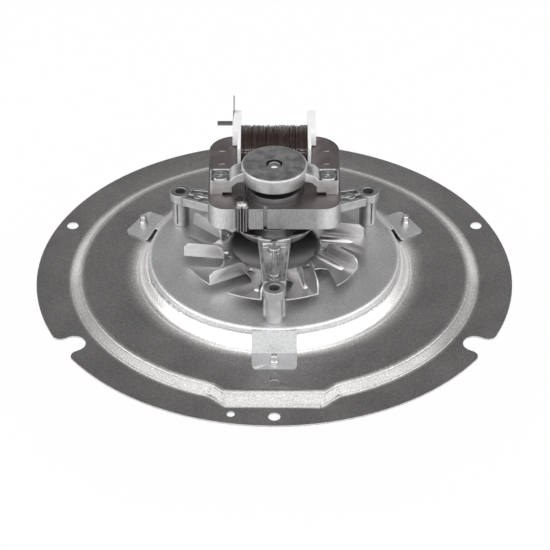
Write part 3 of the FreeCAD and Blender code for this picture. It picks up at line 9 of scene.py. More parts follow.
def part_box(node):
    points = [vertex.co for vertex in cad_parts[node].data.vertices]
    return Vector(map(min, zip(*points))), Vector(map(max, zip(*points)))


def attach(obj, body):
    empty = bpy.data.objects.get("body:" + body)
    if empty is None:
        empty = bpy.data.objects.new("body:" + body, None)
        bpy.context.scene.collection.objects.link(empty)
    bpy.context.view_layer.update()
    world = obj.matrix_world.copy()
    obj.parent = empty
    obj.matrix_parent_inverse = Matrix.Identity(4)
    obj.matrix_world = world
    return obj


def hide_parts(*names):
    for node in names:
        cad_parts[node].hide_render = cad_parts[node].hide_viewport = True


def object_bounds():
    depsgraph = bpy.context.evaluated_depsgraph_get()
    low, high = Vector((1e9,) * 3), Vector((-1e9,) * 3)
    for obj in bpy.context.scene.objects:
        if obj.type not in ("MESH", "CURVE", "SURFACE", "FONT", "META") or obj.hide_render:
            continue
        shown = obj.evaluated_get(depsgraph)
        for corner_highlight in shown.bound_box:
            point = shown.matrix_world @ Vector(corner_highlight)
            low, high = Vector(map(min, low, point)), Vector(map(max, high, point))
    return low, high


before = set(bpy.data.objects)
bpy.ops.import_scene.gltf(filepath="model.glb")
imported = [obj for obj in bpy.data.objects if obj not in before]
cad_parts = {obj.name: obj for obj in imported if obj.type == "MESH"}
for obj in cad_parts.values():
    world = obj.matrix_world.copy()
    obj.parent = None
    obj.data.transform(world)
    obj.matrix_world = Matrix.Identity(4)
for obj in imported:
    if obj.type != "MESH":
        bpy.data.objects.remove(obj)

bl_info = {
    "name": "Oven Fan Motor",
    "version": (1, 0, 0),
    "blender": (4, 5, 0),
    "location": "View3D > Sidebar > Fan Motor",
    "description": "Finishes the pieces of a shaded-pole fan motor on its round mounting plate",
    "category": "Object",
}

CAD_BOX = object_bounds()
FINISHED = "_finished"
WHITE = (1.0, 1.0, 1.0, 1.0)
FLOOR_GLOW = 0.97  # share of its own light in what the camera and mirrors see of the floor
WINDING_SEED = 7
WOUND_SHARE = 0.9  # beyond this share of the coil's ellipse a vertex lies on the wound surface
LEVEL_WITHIN = math.radians(0.5)  # faces that meet within this angle become one

# Lengths in metres. A pair holds the two limits between which a mask changes.
MILLIMETRE = 0.001
SAME_HEIGHT = 0.00001
MERGE_DISTANCE = 0.000002
STEP_HEAD = (0.0902, 0.0913, 0.1133)  # upper line of the plate's step: radius, front flat and slanted run
STEP_FOOT = (0.0935, 0.0963, 0.1179)  # lower line of the step
LOBE_START = 0.07  # how far in front of the shaft the step's lobe begins
HEAD_ROLL = (-0.003, 0.0)  # soft roll up to the step's upper line
FOOT_ROLL = (0.0, 0.0022)  # soft roll beyond the step's lower line
BOSS_ROLL = (0.063, 0.0705)  # soft roll beyond the boss's foot
STEP_ZONE = (0.08, 0.084)  # the step lies outside these radii and the boss inside them
NEAR_HALF = (-0.012, 0.002)  # from the plate's near half to its far half
RUBBED_FROM = (0.0615, 0.063)  # where the rub marks begin
RUBBED_TO = (0.063, 0.069)  # where they fade
PAN_ROLL = (0.0555, 0.0582)  # soft roll up to the pan's edge
TABS_FROM = (0.0002, 0.0006)  # how far beyond the pan's radius its tabs count
SHADED_BORE = (0.0037, 0.0039)  # radii within which a casting gets painted shade in its bore
STACK_CORNERS = (0.0185, 0.0235)  # from the stack's middle to its front corners, which get a painted highlight
FAN_MIDDLE = (0.019, 0.024)  # radii within which the fan gets painted shade under the bracket's bowl
RING_SIDE = 0.012  # from the middle plane to a shading ring's near side
STRAND_WIDTH = 0.00125  # of each of the ring's four round strands
STRAND_DEPTH = 0.0004  # relief from groove to crown
STRANDS_END = (-0.0008, -0.0004)  # height from the stack's top at which the strands end
WELD_RISE = (-0.0002, 0.0008)  # height from the stack's top at which the weld begins
WELD_REACH = (0.0043, 0.003)  # how far behind the ring's outer side the weld begins
LAMINATION = 0.0005  # thickness of one sheet of the stack
WIRE_ROWS = (0.155, 0.19)  # height of the painted highlight lines under the coil's top, as shares of its height
WIRE_ROW_WIDTH = (0.00015, 0.0003)  # half widths of a painted highlight line

# Heights of the soft rolls' reliefs in millimetres
HEAD_HEIGHT = -1.1
FOOT_HEIGHT = 0.66
BOSS_HEIGHT = 1.5
PAN_HEIGHT = -1.1


def colour_property(name, description, default):
    """A colour that a user may change."""
    return bpy.props.FloatVectorProperty(
        name=name, description=description, default=default, size=3, subtype="COLOR", min=0.0, max=1.0)


def length_property(name, description, default):
    """A length that a user may change."""
    return bpy.props.FloatProperty(name=name, description=description, default=default, min=0.0, unit="LENGTH")


class StageSettings(bpy.types.PropertyGroup):
    """Camera, floor and light."""

    camera_elevation: bpy.props.FloatProperty(
        name="Camera elevation", description="Height of the view above the horizon",
        default=math.radians(36.2025), subtype="ANGLE")
    camera_distance: length_property("Camera distance", "From the aim point to the camera", 1.2562)
    camera_lens: bpy.props.FloatProperty(
        name="Focal length", description="Of the camera's lens", default=177.4, unit="CAMERA")
    aim: bpy.props.FloatVectorProperty(
        name="Aim", description="The point that the camera looks at", default=(0.0003, 0.0, 0.0008),
        subtype="XYZ", unit="LENGTH")
    floor_drop: length_property("Floor drop", "How far the floor lies under the shaft's end", 0.05)
    ambient: bpy.props.FloatProperty(
        name="Ambient light", description="Strength of the sky for matt surfaces", default=0.35, min=0.0)
    ceiling: bpy.props.FloatProperty(
        name="Ceiling", description="How bright metal sees the studio's ceiling, where its walls are 1",
        default=0.22, min=0.0, max=1.0)
    wall_top: bpy.props.FloatProperty(
        name="Wall top", description="Height above the horizon at which the white walls begin to fade",
        default=math.radians(7), subtype="ANGLE")
    ceiling_edge: bpy.props.FloatProperty(
        name="Ceiling edge", description="Height above the horizon at which the ceiling begins",
        default=math.radians(30), subtype="ANGLE")


class FinishSettings(bpy.types.PropertyGroup):
    """Colours of the finishes."""

    plate: colour_property("Plate", "Zinc-coated sheet of the mounting plate", (0.365, 0.356, 0.352))
    pan: colour_property("Pan", "Bright sheet of the motor pan", (0.67, 0.673, 0.68))
    fan: colour_property("Fan", "Bright sheet of the cooling fan", (0.65, 0.64, 0.645))
    casting: colour_property("Casting", "Die-cast bracket and bridge", (0.54, 0.535, 0.54))
    stack_top: colour_property("Stack top", "Blued face of the laminations", (0.27, 0.245, 0.235))
    stack_edge: colour_property("Stack edge", "Bare cut edges of the laminations", (0.375, 0.375, 0.38))
    ring: colour_property("Shading ring", "Tarnished strip of the shading rings", (0.12, 0.116, 0.115))
    wire: colour_property("Wire", "Enamel of the winding", (0.03, 0.014, 0.011))
    wire_glint: colour_property("Wire glint", "Pale glints on the winding", (0.42, 0.39, 0.37))
    bobbin: colour_property("Bobbin", "Moulded plastic of the bobbin", (0.86, 0.86, 0.87))
    rivet: colour_property("Rivet", "Blind rivets of the pan", (0.62, 0.62, 0.62))
    screw: colour_property("Screw", "Bright zinc of the screws", (0.5, 0.5, 0.5))
    terminal: colour_property("Terminal", "Tinned brass of the terminals", (0.3, 0.3, 0.3))
    bearing: colour_property("Bearing", "Sintered bronze of the bearings", (0.3, 0.22, 0.15))
    felt: colour_property("Felt", "Oiled felts round the bearings", (0.5, 0.46, 0.38))
    spring: colour_property("Spring", "Spring plates over the bearings", (0.25, 0.25, 0.26))
    shaft: colour_property("Shaft", "Ground steel of the shaft", (0.55, 0.55, 0.55))
    cage: colour_property("Cage", "Cast alloy of the rotor's cage", (0.3, 0.3, 0.31))
    washer: colour_property("Washer", "Plastic of the thrust washers", (0.1, 0.1, 0.1))
    hub: colour_property("Hub", "Turned hub of the fan", (0.4, 0.4, 0.4))


class WindingSettings(bpy.types.PropertyGroup):
    """How the coil is wound."""

    wire_width: length_property("Wire width", "Diameter over the enamel", 0.00045)
    slack: length_property("Slack", "How far some turns lie below the others", 0.0006)
    lean: bpy.props.FloatProperty(
        name="Lean", description="How far a turn may lean to the side", default=math.radians(0.4), subtype="ANGLE")
    sides: bpy.props.IntProperty(name="Sides", description="Corners of the wire's section", default=6, min=3)
    steps: bpy.props.IntProperty(name="Steps", description="Stretches in one turn", default=36, min=8)


class EdgeSettings(bpy.types.PropertyGroup):
    """How sharp the pieces' edges are."""

    sheet_edge: length_property("Sheet edge", "Rounding of cut sheet edges", 0.00012)
    bent_edge: length_property("Bent sheet edge", "Rounding of cut edges on bent sheets", 0.00006)
    cast_edge: length_property("Cast edge", "Rounding of the castings' edges", 0.0003)
    moulded_edge: length_property("Moulded edge", "Rounding of the plastic's edges", 0.0002)
    turned_edge: length_property("Turned edge", "Rounding of turned pieces", 0.0001)
    strand_edge: length_property("Strand edge", "Rounding of the shading rings' strands", 0.00015)
    shaft_dome: length_property("Shaft dome", "Rise of the shaft's upper end over its rim", 0.001)


def settings():
    """All the values that a user may change."""
    return bpy.context.scene.fan_motor


class MotorSettings(bpy.types.PropertyGroup):
    """The groups of settings together."""

    stage: bpy.props.PointerProperty(type=StageSettings, name="Stage", description="Camera, floor and light")
    finish: bpy.props.PointerProperty(type=FinishSettings, name="Finish", description="Colours of the finishes")
    winding: bpy.props.PointerProperty(type=WindingSettings, name="Winding", description="How the coil is wound")
    edges: bpy.props.PointerProperty(type=EdgeSettings, name="Edges", description="How sharp the edges are")


def fill(tree, socket, value):
    """Link a socket to another one, or give it a value."""
    if isinstance(value, bpy.types.NodeSocket):
        tree.links.new(value, socket)
    else:
        socket.default_value = value


def add_node(tree, kind, inputs=None, **values):
    """Add a shader node, set it up and fill its sockets."""
    node = tree.nodes.new(kind)
    for key, value in values.items():
        setattr(node, key, value)
    for name, value in (inputs or {}).items():
        fill(tree, node.inputs[name], value)
    return node


def new_tree(name):
    """An empty material and its node tree."""
    material = bpy.data.materials.new(name)
    material.use_nodes = True
    material.node_tree.nodes.clear()
    return material, material.node_tree


def combine(tree, kind, *values):
    """Join values by arithmetic."""
    return add_node(tree, "ShaderNodeMath", dict(enumerate(values)), operation=kind).outputs[0]


def product(tree, first, *others):
    """Multiply values, such as masks that count where all of them are 1."""
    for other in others:
        first = combine(tree, "MULTIPLY", first, other)
    return first


def greatest(tree, first, *others):
    """The greatest of some values."""
    for other in others:
        first = combine(tree, "MAXIMUM", first, other)
    return first


def inverse(tree, mask):
    """0 where a mask is 1 and 1 where it is 0."""
    return combine(tree, "SUBTRACT", 1.0, mask)


def unsigned(tree, value):
    """A value without its sign."""
    return combine(tree, "ABSOLUTE", value)


def spread(tree, factor, low, high, first=0.3, last=0.7):
    """Turn a value between two limits, or the middle of a noise, into a range of values."""
    node = add_node(tree, "ShaderNodeMapRange", {
        "Value": factor, "From Min": first, "From Max": last, "To Min": low, "To Max": high})
    return node.outputs["Result"]


def rising(tree, value, first=0.3, last=0.7):
    """0 below the first limit and 1 above the last one."""
    return spread(tree, value, 0.0, 1.0, first, last)


def falling(tree, value, first, last):
    """1 below the first limit and 0 above the last one."""
    return spread(tree, value, 1.0, 0.0, first, last)


def varied(tree, factor, middle, change):
    """A value that varies by a share to both sides of its middle."""
    return spread(tree, factor, middle * (1 - change), middle * (1 + change))


def object_place(tree, stretch=(1.0, 1.0, 1.0)):
    """The place on the piece, stretched along an axis for a directional grain."""
    place = add_node(tree, "ShaderNodeTexCoord")
    return add_node(
        tree, "ShaderNodeMapping", {"Vector": place.outputs["Object"], "Scale": stretch}).outputs["Vector"]


def noise(tree, place, grain, detail=3.0):
    """Smooth noise whose lumps are about one grain wide, in metres."""
    node = add_node(tree, "ShaderNodeTexNoise", {"Vector": place, "Scale": 1.0 / grain, "Detail": detail})
    return node.outputs["Fac"]


def part_of(tree, vector, axis):
    """One coordinate of a vector."""
    return add_node(tree, "ShaderNodeSeparateXYZ", {"Vector": vector}).outputs[axis]


def part_of_place(tree, axis):
    """One coordinate of the place on the piece."""
    return part_of(tree, object_place(tree), axis)


def facing(tree, axis):
    """1 where the surface faces along an axis, 0 where it runs along it."""
    normal = add_node(tree, "ShaderNodeNewGeometry").outputs["Normal"]
    return unsigned(tree, part_of(tree, normal, axis))


def seen_along_shaft(tree, operation):
    """The place beside the shaft's axis: its LENGTH, or with NORMALIZE its direction."""
    return add_node(tree, "ShaderNodeVectorMath", {0: object_place(tree, (1.0, 1.0, 0.0))}, operation=operation)


def reach_from_shaft(tree):
    """Distance from the shaft's axis."""
    return seen_along_shaft(tree, "LENGTH").outputs["Value"]


def radius_mask(tree, inner, outer):
    """0 within one radius from the shaft's axis and 1 beyond the other."""
    return rising(tree, reach_from_shaft(tree), inner, outer)


def height_mask(tree, low, high):
    """0 below one height on the piece and 1 above the other."""
    return rising(tree, part_of_place(tree, "Z"), low, high)


def upward(tree, first=0.85, last=0.98):
    """1 where the piece's surface faces straight up or down, 0 on its walls and slopes."""
    return rising(tree, facing(tree, "Z"), first, last)


def drawn_walls(tree):
    """1 on the walls and slopes that the press drew, 0 on level sheet."""
    return inverse(tree, upward(tree, 0.8, 0.97))


def colours_of(sockets):
    """The colour sockets among a node's sockets."""
    return [socket for socket in sockets if socket.type == "RGBA"]


def blend_colours(tree, factor, first, second):
    """Mix two colours."""
    node = add_node(tree, "ShaderNodeMix", {"Factor": factor}, data_type="RGBA")
    for socket, value in zip(colours_of(node.inputs), (first, second)):
        fill(tree, socket, value)
    return colours_of(node.outputs)[0]


def shades(tree, factor, colour, dark, light):
    """Blend between a darker and a lighter shade of a colour."""
    first, second = ([min(1.0, part * share) for part in colour] + [1.0] for share in (dark, light))
    return blend_colours(tree, factor, first, second)


def scaled(tree, colour, mask, share):
    """Make a colour brighter or darker by a share where the mask is 1."""
    node = add_node(tree, "ShaderNodeVectorMath", {
        "Vector": colour, "Scale": spread(tree, mask, 1.0, share, 0.0, 1.0)}, operation="SCALE")
    return node.outputs["Vector"]


def relief(tree, height, depth, strength=1.0, under=None):
    """A fine relief, its depth in metres, over another one."""
    node = add_node(tree, "ShaderNodeBump", {"Height": height, "Distance": depth, "Strength": strength})
    if under:
        tree.links.new(under, node.inputs["Normal"])
    return node.outputs["Normal"]


def finish_surface(tree, inputs):
    """Close a material with its surface shader."""
    shader = add_node(tree, "ShaderNodeBsdfPrincipled", inputs)
    add_node(tree, "ShaderNodeOutputMaterial", {"Surface": shader.outputs["BSDF"]})


def sheet_metal(name, colour, roughness, contrast=0.12, depth=0.00001, marks_and_painted_light=(), bends=None):
    """Rolled sheet with speckle and soft clouds. The masks with shares scale the colour: real marks, painted
    highlights and painted shade; bends gives a coarser relief.
    """
    material, tree = new_tree(name)
    place = object_place(tree)
    speckle = noise(tree, place, 0.0006, 2.0)
    cloud = noise(tree, place, 0.02, 4.0)
    mixed = combine(tree, "MULTIPLY_ADD", speckle, 0.8, product(tree, cloud, 0.2))
    skin = shades(tree, rising(tree, mixed, 0.38, 0.62), colour, 1 - contrast, 1 + contrast)
    # Each mask scales the colour by its share, for real marks or for painted highlight and painted shade.
    for where, share in marks_and_painted_light:
        skin = scaled(tree, skin, where(tree), share)
    finish_surface(tree, {
        "Base Color": skin,
        "Metallic": 1.0,
        "Roughness": varied(tree, cloud, roughness, 0.07),
        "Normal": relief(tree, speckle, depth, under=bends and bends(tree)),
    })
    return material


def cast_metal(name, colour, roughness):
    """Die casting: a sandy skin with darker clouds, with mottled painted shade on level faces and painted shade in
    the bore.
    """
    material, tree = new_tree(name)
    place = object_place(tree)
    sand = noise(tree, place, 0.0005, 4.0)
    cloud = noise(tree, place, 0.005, 5.0)
    blotch = noise(tree, place, 0.0045, 5.0)
    # Painted shade in the shaft's bore.
    bore_shade = inverse(tree, radius_mask(tree, *SHADED_BORE))
    skin = shades(tree, rising(tree, cloud), colour, 0.84, 1.16)
    # Painted shade: level faces darker, in mottled blotches.
    level_shade = shades(tree, rising(tree, blotch, 0.36, 0.62), colour, 0.495, 0.9)
    finish_surface(tree, {
        "Base Color": scaled(tree, blend_colours(tree, upward(tree), skin, level_shade), bore_shade, 0.3),
        "Metallic": 1.0,
        "Roughness": varied(tree, sand, roughness, 0.2),
        "Normal": relief(tree, sand, 0.00003),
    })
    return material


def turned_metal(name, colour, roughness):
    """Turned or ground metal with fine rings along the shaft."""
    material, tree = new_tree(name)
    rings = noise(tree, object_place(tree, (0.05, 0.05, 1.0)), 0.00025, 2.0)
    cloud = noise(tree, object_place(tree), 0.004)
    finish_surface(tree, {
        "Base Color": shades(tree, rising(tree, cloud), colour, 0.9, 1.1),
        "Metallic": 1.0,
        "Roughness": varied(tree, rings, roughness, 0.3),
        "Normal": relief(tree, rings, 0.000008),
    })
    return material


def laminated_steel(name, top_colour, edge_colour):
    """Stacked stampings: dark blued faces, and bare edges with a line at each sheet and a painted highlight on the
    front corners.
    """
    material, tree = new_tree(name)
    place = object_place(tree)
    corner_highlight = product(
        tree, rising(tree, unsigned(tree, part_of_place(tree, "X")), *STACK_CORNERS),
        rising(tree, facing(tree, "Y"), 0.3, 0.85))
    brushed = noise(tree, object_place(tree, (1.0, 1.0, 0.3)), 0.0007, 4.0)
    wave = combine(tree, "SINE", product(tree, part_of_place(tree, "Z"), math.tau / LAMINATION))
    streak = combine(tree, "MULTIPLY_ADD", wave, 0.12, brushed)
    edge = shades(tree, rising(tree, streak, 0.25, 0.75), edge_colour, 0.82, 1.15)
    face = shades(tree, rising(tree, noise(tree, place, 0.008)), top_colour, 0.8, 1.15)
    finish_surface(tree, {
        "Base Color": blend_colours(tree, upward(tree, 0.5, 0.8), scaled(tree, edge, corner_highlight, 1.9), face),
        "Metallic": 1.0,
        "Roughness": spread(tree, noise(tree, place, 0.0007), 0.36, 0.5),
        "Normal": relief(tree, wave, 0.00003, 0.6),
    })
    return material


def moulded_plastic(name, colour):
    """Moulded plastic with a faintly grained skin."""
    material, tree = new_tree(name)
    place = object_place(tree)
    grain = noise(tree, place, 0.0005)
    finish_surface(tree, {
        "Base Color": shades(tree, rising(tree, noise(tree, place, 0.008)), colour, 0.96, 1.03),
        "Roughness": varied(tree, grain, 0.42, 0.15),
        "Normal": relief(tree, grain, 0.00001),
    })
    return material


def enamelled_wire(name, colour, glint_colour, low, high):
    """Dark enamel: painted glints on some turns at the coil's crown and on stray turns, and two painted highlight
    lines along its front.
    """
    material, tree = new_tree(name)
    height = high.z - low.z
    depth = high.y - low.y
    bands = noise(tree, object_place(tree, (1.0, 0.04, 0.04)), 0.0004, 2.0)
    single = noise(tree, object_place(tree, (1.0, 0.02, 0.02)), 0.0003, 1.0)
    patch = noise(tree, object_place(tree, (0.6, 1.0, 1.0)), 0.0016, 2.0)
    skin = shades(tree, rising(tree, bands), colour, 0.7, 1.4)
    pale = shades(tree, bands, glint_colour, 0.7, 1.3)
    back = part_of_place(tree, "Y")
    # Painted glints on some turns at the coil's crown, and on stray turns.
    crown = product(
        tree, height_mask(tree, high.z - 0.3 * height, high.z - 0.2 * height),
        rising(tree, back, high.y - 0.6 * depth, high.y - 0.25 * depth),
        spread(tree, single, 0.0, 0.7, 0.52, 0.64))
    stray_glints = product(tree, rising(tree, single, 0.68, 0.73), spread(tree, patch, 0.0, 0.5, 0.5, 0.6))
    # Two dashed lines of painted highlight across the turns where the coil bulges at its front.
    rows = []
    for drop in WIRE_ROWS:
        away = unsigned(tree, combine(tree, "SUBTRACT", part_of_place(tree, "Z"), high.z - drop * height))
        rows.append(falling(tree, away, *WIRE_ROW_WIDTH))
    highlight_dashes = product(
        tree, greatest(tree, *rows), falling(tree, back, low.y + 0.3 * depth, low.y + 0.4 * depth),
        spread(tree, single, 0.0, 0.8, 0.42, 0.52))
    finish_surface(tree, {
        "Base Color": blend_colours(tree, greatest(tree, crown, stray_glints, highlight_dashes), skin, pale),
        "Roughness": spread(tree, patch, 0.3, 0.6),
        "Normal": relief(tree, patch, 0.00002),
    })
    return material


def soft_felt(name, colour):
    """Oiled felt with short fibres."""
    material, tree = new_tree(name)
    fibre = noise(tree, object_place(tree, (1.0, 0.3, 1.0)), 0.0004, 6.0)
    finish_surface(tree, {
        "Base Color": shades(tree, rising(tree, fibre), colour, 0.7, 1.2),
        "Roughness": 0.95,
        "Normal": relief(tree, fibre, 0.0002),
    })
    return material


def finished_copy(node, body, material, edge=0.0, segments=2, corner_angle=35.0, shape=None):
    """Merge a copy of a CAD node's mesh, round its edges and let it stand for the node."""
    piece = bpy.data.objects.new(node + FINISHED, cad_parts[node].data.copy())
    mesh = piece.data
    mesh.name = piece.name
    form = bmesh.new()
    form.from_mesh(mesh)
    bmesh.ops.remove_doubles(form, verts=form.verts, dist=MERGE_DISTANCE)
    if shape:
        shape(form)
    bmesh.ops.recalc_face_normals(form, faces=form.faces)
    bmesh.ops.dissolve_limit(
        form, angle_limit=LEVEL_WITHIN, verts=form.verts, edges=form.edges, use_dissolve_boundaries=False)
    bmesh.ops.connect_verts_concave(form, faces=form.faces)
    form.to_mesh(mesh)
    form.free()
    mesh.materials.clear()
    mesh.materials.append(material)
    bpy.context.scene.collection.objects.link(piece)
    if edge:
        bevel = piece.modifiers.new("rounded_edges", "BEVEL")
        bevel.width = edge
        bevel.segments = segments
        bevel.limit_method = "ANGLE"
        bevel.angle_limit = math.radians(corner_angle)
        bevel.use_clamp_overlap = False
        bevel.harden_normals = True
    mesh.shade_smooth()
    mesh.set_sharp_from_angle(angle=math.radians(corner_angle))
    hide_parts(node)
    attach(piece, body)


def finish_node(node, material):
    """Give a CAD node a material and leave its mesh alone."""
    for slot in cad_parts[node].material_slots:
        slot.material = material


class MotorOperator:
    """What the operators share."""

    bl_options = {"REGISTER", "UNDO"}


class FANMOTOR_OT_stage(MotorOperator, bpy.types.Operator):
    """Set up the camera, the floor, the sky and the lamps"""

    bl_idname = "fan_motor.stage"
    bl_label = "Stage"

    def execute(self, context):
        values = settings().stage
        build_camera(values)
        build_sky(values)
        build_floor(values)
        build_lamps()
        context.scene.view_settings.view_transform = "Standard"
        return {"FINISHED"}


def build_camera(values):
    """The camera in front of and above the part."""
    data = bpy.data.cameras.new("camera")
    data.lens = values.camera_lens
    data.sensor_width = 36.0
    data.clip_end = 20.0
    camera = bpy.data.objects.new("camera", data)
    back = Vector((0, -math.cos(values.camera_elevation), math.sin(values.camera_elevation)))
    camera.location = Vector(values.aim) + back * values.camera_distance
    camera.rotation_euler = (-back).to_track_quat("-Z", "Y").to_euler()
    bpy.context.scene.collection.objects.link(camera)
    bpy.context.scene.camera = camera


def seen_in_gloss(tree):
    """1 for rays that a mirror or glass sends on."""
    path = add_node(tree, "ShaderNodeLightPath")
    return greatest(tree, path.outputs["Is Glossy Ray"], path.outputs["Is Transmission Ray"])


def seen_by_camera(tree):
    """1 for rays straight from the camera."""
    return add_node(tree, "ShaderNodeLightPath").outputs["Is Camera Ray"]


def build_sky(values):
    """A white surround: even walls, a dimmer ceiling for the metal to show, and a soft ambient light."""
    world = bpy.data.worlds.new("sky")
    world.use_nodes = True
    tree = world.node_tree
    tree.nodes.clear()
    direction = add_node(tree, "ShaderNodeTexCoord").outputs["Generated"]
    walls = add_node(tree, "ShaderNodeMapRange", {
        "Value": part_of(tree, direction, "Z"), "From Min": math.sin(values.wall_top),
        "From Max": math.sin(values.ceiling_edge), "To Min": 1.0, "To Max": values.ceiling},
        interpolation_type="SMOOTHSTEP").outputs["Result"]
    matt = add_node(tree, "ShaderNodeMix", {
        "Factor": seen_in_gloss(tree), "A": values.ambient, "B": walls}, data_type="FLOAT").outputs["Result"]
    strength = greatest(tree, matt, seen_by_camera(tree))
    light = add_node(tree, "ShaderNodeBackground", {"Color": WHITE, "Strength": strength})
    add_node(tree, "ShaderNodeOutputWorld", {"Surface": light.outputs["Background"]})
    bpy.context.scene.world = world


def build_floor(values):
    """A wide pale floor under the shaft's end."""
    reach = 6.0
    form = bmesh.new()
    bmesh.ops.create_grid(form, x_segments=1, y_segments=1, size=reach)
    bmesh.ops.translate(form, verts=form.verts, vec=(0, 0, CAD_BOX[0].z - values.floor_drop))
    mesh = bpy.data.meshes.new("floor")
    form.to_mesh(mesh)
    form.free()
    floor = bpy.data.objects.new("floor", mesh)
    bpy.context.scene.collection.objects.link(floor)
    material, tree = new_tree("pale_floor")
    cloud = noise(tree, object_place(tree), 0.3)
    matt = add_node(tree, "ShaderNodeBsdfDiffuse", {
        "Color": shades(tree, cloud, (0.9, 0.9, 0.9), 0.995, 1.005)})
    glow = add_node(tree, "ShaderNodeEmission", {"Color": WHITE, "Strength": 1.0})
    share = product(tree, greatest(tree, seen_by_camera(tree), seen_in_gloss(tree)), FLOOR_GLOW)
    both = add_node(tree, "ShaderNodeMixShader", {0: share, 1: matt.outputs[0], 2: glow.outputs[0]})
    add_node(tree, "ShaderNodeOutputMaterial", {"Surface": both.outputs[0]})
    mesh.materials.append(material)


def build_lamps():
    """Large soft lamps: a wide one in front and a weaker one on each side."""
    add_lamp("front_lamp", azimuth=0, elevation=52, distance=1.4, width=1.8, height=3.3, watts=24)
    for name, azimuth in (("left_lamp", -68), ("right_lamp", 68)):
        add_lamp(name, azimuth=azimuth, elevation=24, distance=1.5, width=1.5, height=1.3, watts=10)


def add_lamp(name, azimuth, elevation, distance, width, height, watts):
    """One rectangular lamp that faces the part. Azimuth 0 is in front and 90 to the right."""
    data = bpy.data.lights.new(name, "AREA")
    data.shape = "RECTANGLE"
    data.size = width
    data.size_y = height
    data.energy = watts
    lamp = bpy.data.objects.new(name, data)
    turn = math.radians(azimuth)
    rise = math.radians(elevation)
    out = Vector((math.sin(turn) * math.cos(rise), -math.cos(turn) * math.cos(rise), math.sin(rise)))
    lamp.location = out * distance
    lamp.rotation_euler = (-out).to_track_quat("-Z", "Y").to_euler()
    bpy.context.scene.collection.objects.link(lamp)


def step_distance(tree, radius, flat, slanted):
    """How far outside a line of the plate's step, which is round with a flat lobe in front.

    The flat is given by its distance ahead, and the slanted runs by the sum of the distances ahead and aside.
    """
    rounding = 0.002
    around = combine(tree, "SUBTRACT", reach_from_shaft(tree), radius)
    front = product(tree, part_of_place(tree, "Y"), -1.0)
    ahead = combine(tree, "SUBTRACT", front, flat)
    slant = combine(tree, "ADD", unsigned(tree, part_of_place(tree, "X")), front)
    aside = product(tree, combine(tree, "SUBTRACT", slant, slanted), math.sqrt(0.5))
    behind = combine(tree, "SUBTRACT", LOBE_START, front)
    lobe = greatest(tree, combine(tree, "SMOOTH_MAX", ahead, aside, rounding), behind)
    return combine(tree, "SMOOTH_MIN", around, lobe, rounding)


def bend_zones(tree):
    """Masks of the soft rolls: up to the step's head, beyond its foot, and beyond the boss's foot."""
    head = rising(tree, step_distance(tree, *STEP_HEAD), *HEAD_ROLL)
    foot = falling(tree, step_distance(tree, *STEP_FOOT), *FOOT_ROLL)
    boss = falling(tree, reach_from_shaft(tree), *BOSS_ROLL)
    return [product(tree, zone, zone) for zone in (head, foot, boss)]


def soft_bends(tree):
    """The sheet's soft rolls beside its drawn step and boss, as a relief."""
    head, foot, boss = bend_zones(tree)
    height = combine(tree, "ADD", product(tree, head, HEAD_HEIGHT), product(tree, foot, FOOT_HEIGHT))
    height = combine(tree, "ADD", height, product(tree, boss, BOSS_HEIGHT))
    return relief(tree, height, MILLIMETRE)


def bend_highlight(tree):
    """1 on the drawn walls and fading over the soft rolls beside them, where the plate gets a painted highlight."""
    head, foot, boss = bend_zones(tree)
    return greatest(tree, drawn_walls(tree), product(tree, head, foot), boss)


def step_highlight(tree):
    """1 on the drawn step near the rim, where the painted highlight is toned down."""
    return product(tree, bend_highlight(tree), radius_mask(tree, *STEP_ZONE))


def near_step_shade(tree):
    """1 on the near half of the step, which gets painted shade that makes it darker than its far half."""
    return product(tree, step_highlight(tree), falling(tree, part_of_place(tree, "Y"), *NEAR_HALF))


def rolled_rim(tree):
    """1 at the pan's rim, fading inwards over its soft roll; it shapes the roll's relief and the pan's painted
    highlight there.
    """
    rim = radius_mask(tree, *PAN_ROLL)
    return product(tree, rim, rim)


def soft_rim(tree):
    """The pan's soft roll up to its turned-down edge, as a relief."""
    return relief(tree, product(tree, rolled_rim(tree), PAN_HEIGHT), MILLIMETRE)


def tab_slope_shade(tree):
    """1 on the bent slopes of the pan's tabs, which get painted shade."""
    tabs = radius_mask(tree, *(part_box("motor_pan")[1].y + beyond for beyond in TABS_FROM))
    return product(tree, drawn_walls(tree), tabs)


def rub_marks(tree):
    """Short radial rub marks round the boss's foot."""
    rays = noise(tree, seen_along_shaft(tree, "NORMALIZE").outputs["Vector"], 0.012)
    near = product(tree, radius_mask(tree, *RUBBED_FROM), falling(tree, reach_from_shaft(tree), *RUBBED_TO))
    worn = rising(tree, noise(tree, object_place(tree), 0.03), 0.45, 0.6)
    return product(tree, near, worn, rising(tree, rays, 0.55, 0.72))


def flecks(tree):
    """Sparse bright flecks of zinc."""
    return rising(tree, noise(tree, object_place(tree), 0.0009, 1.0), 0.7, 0.76)


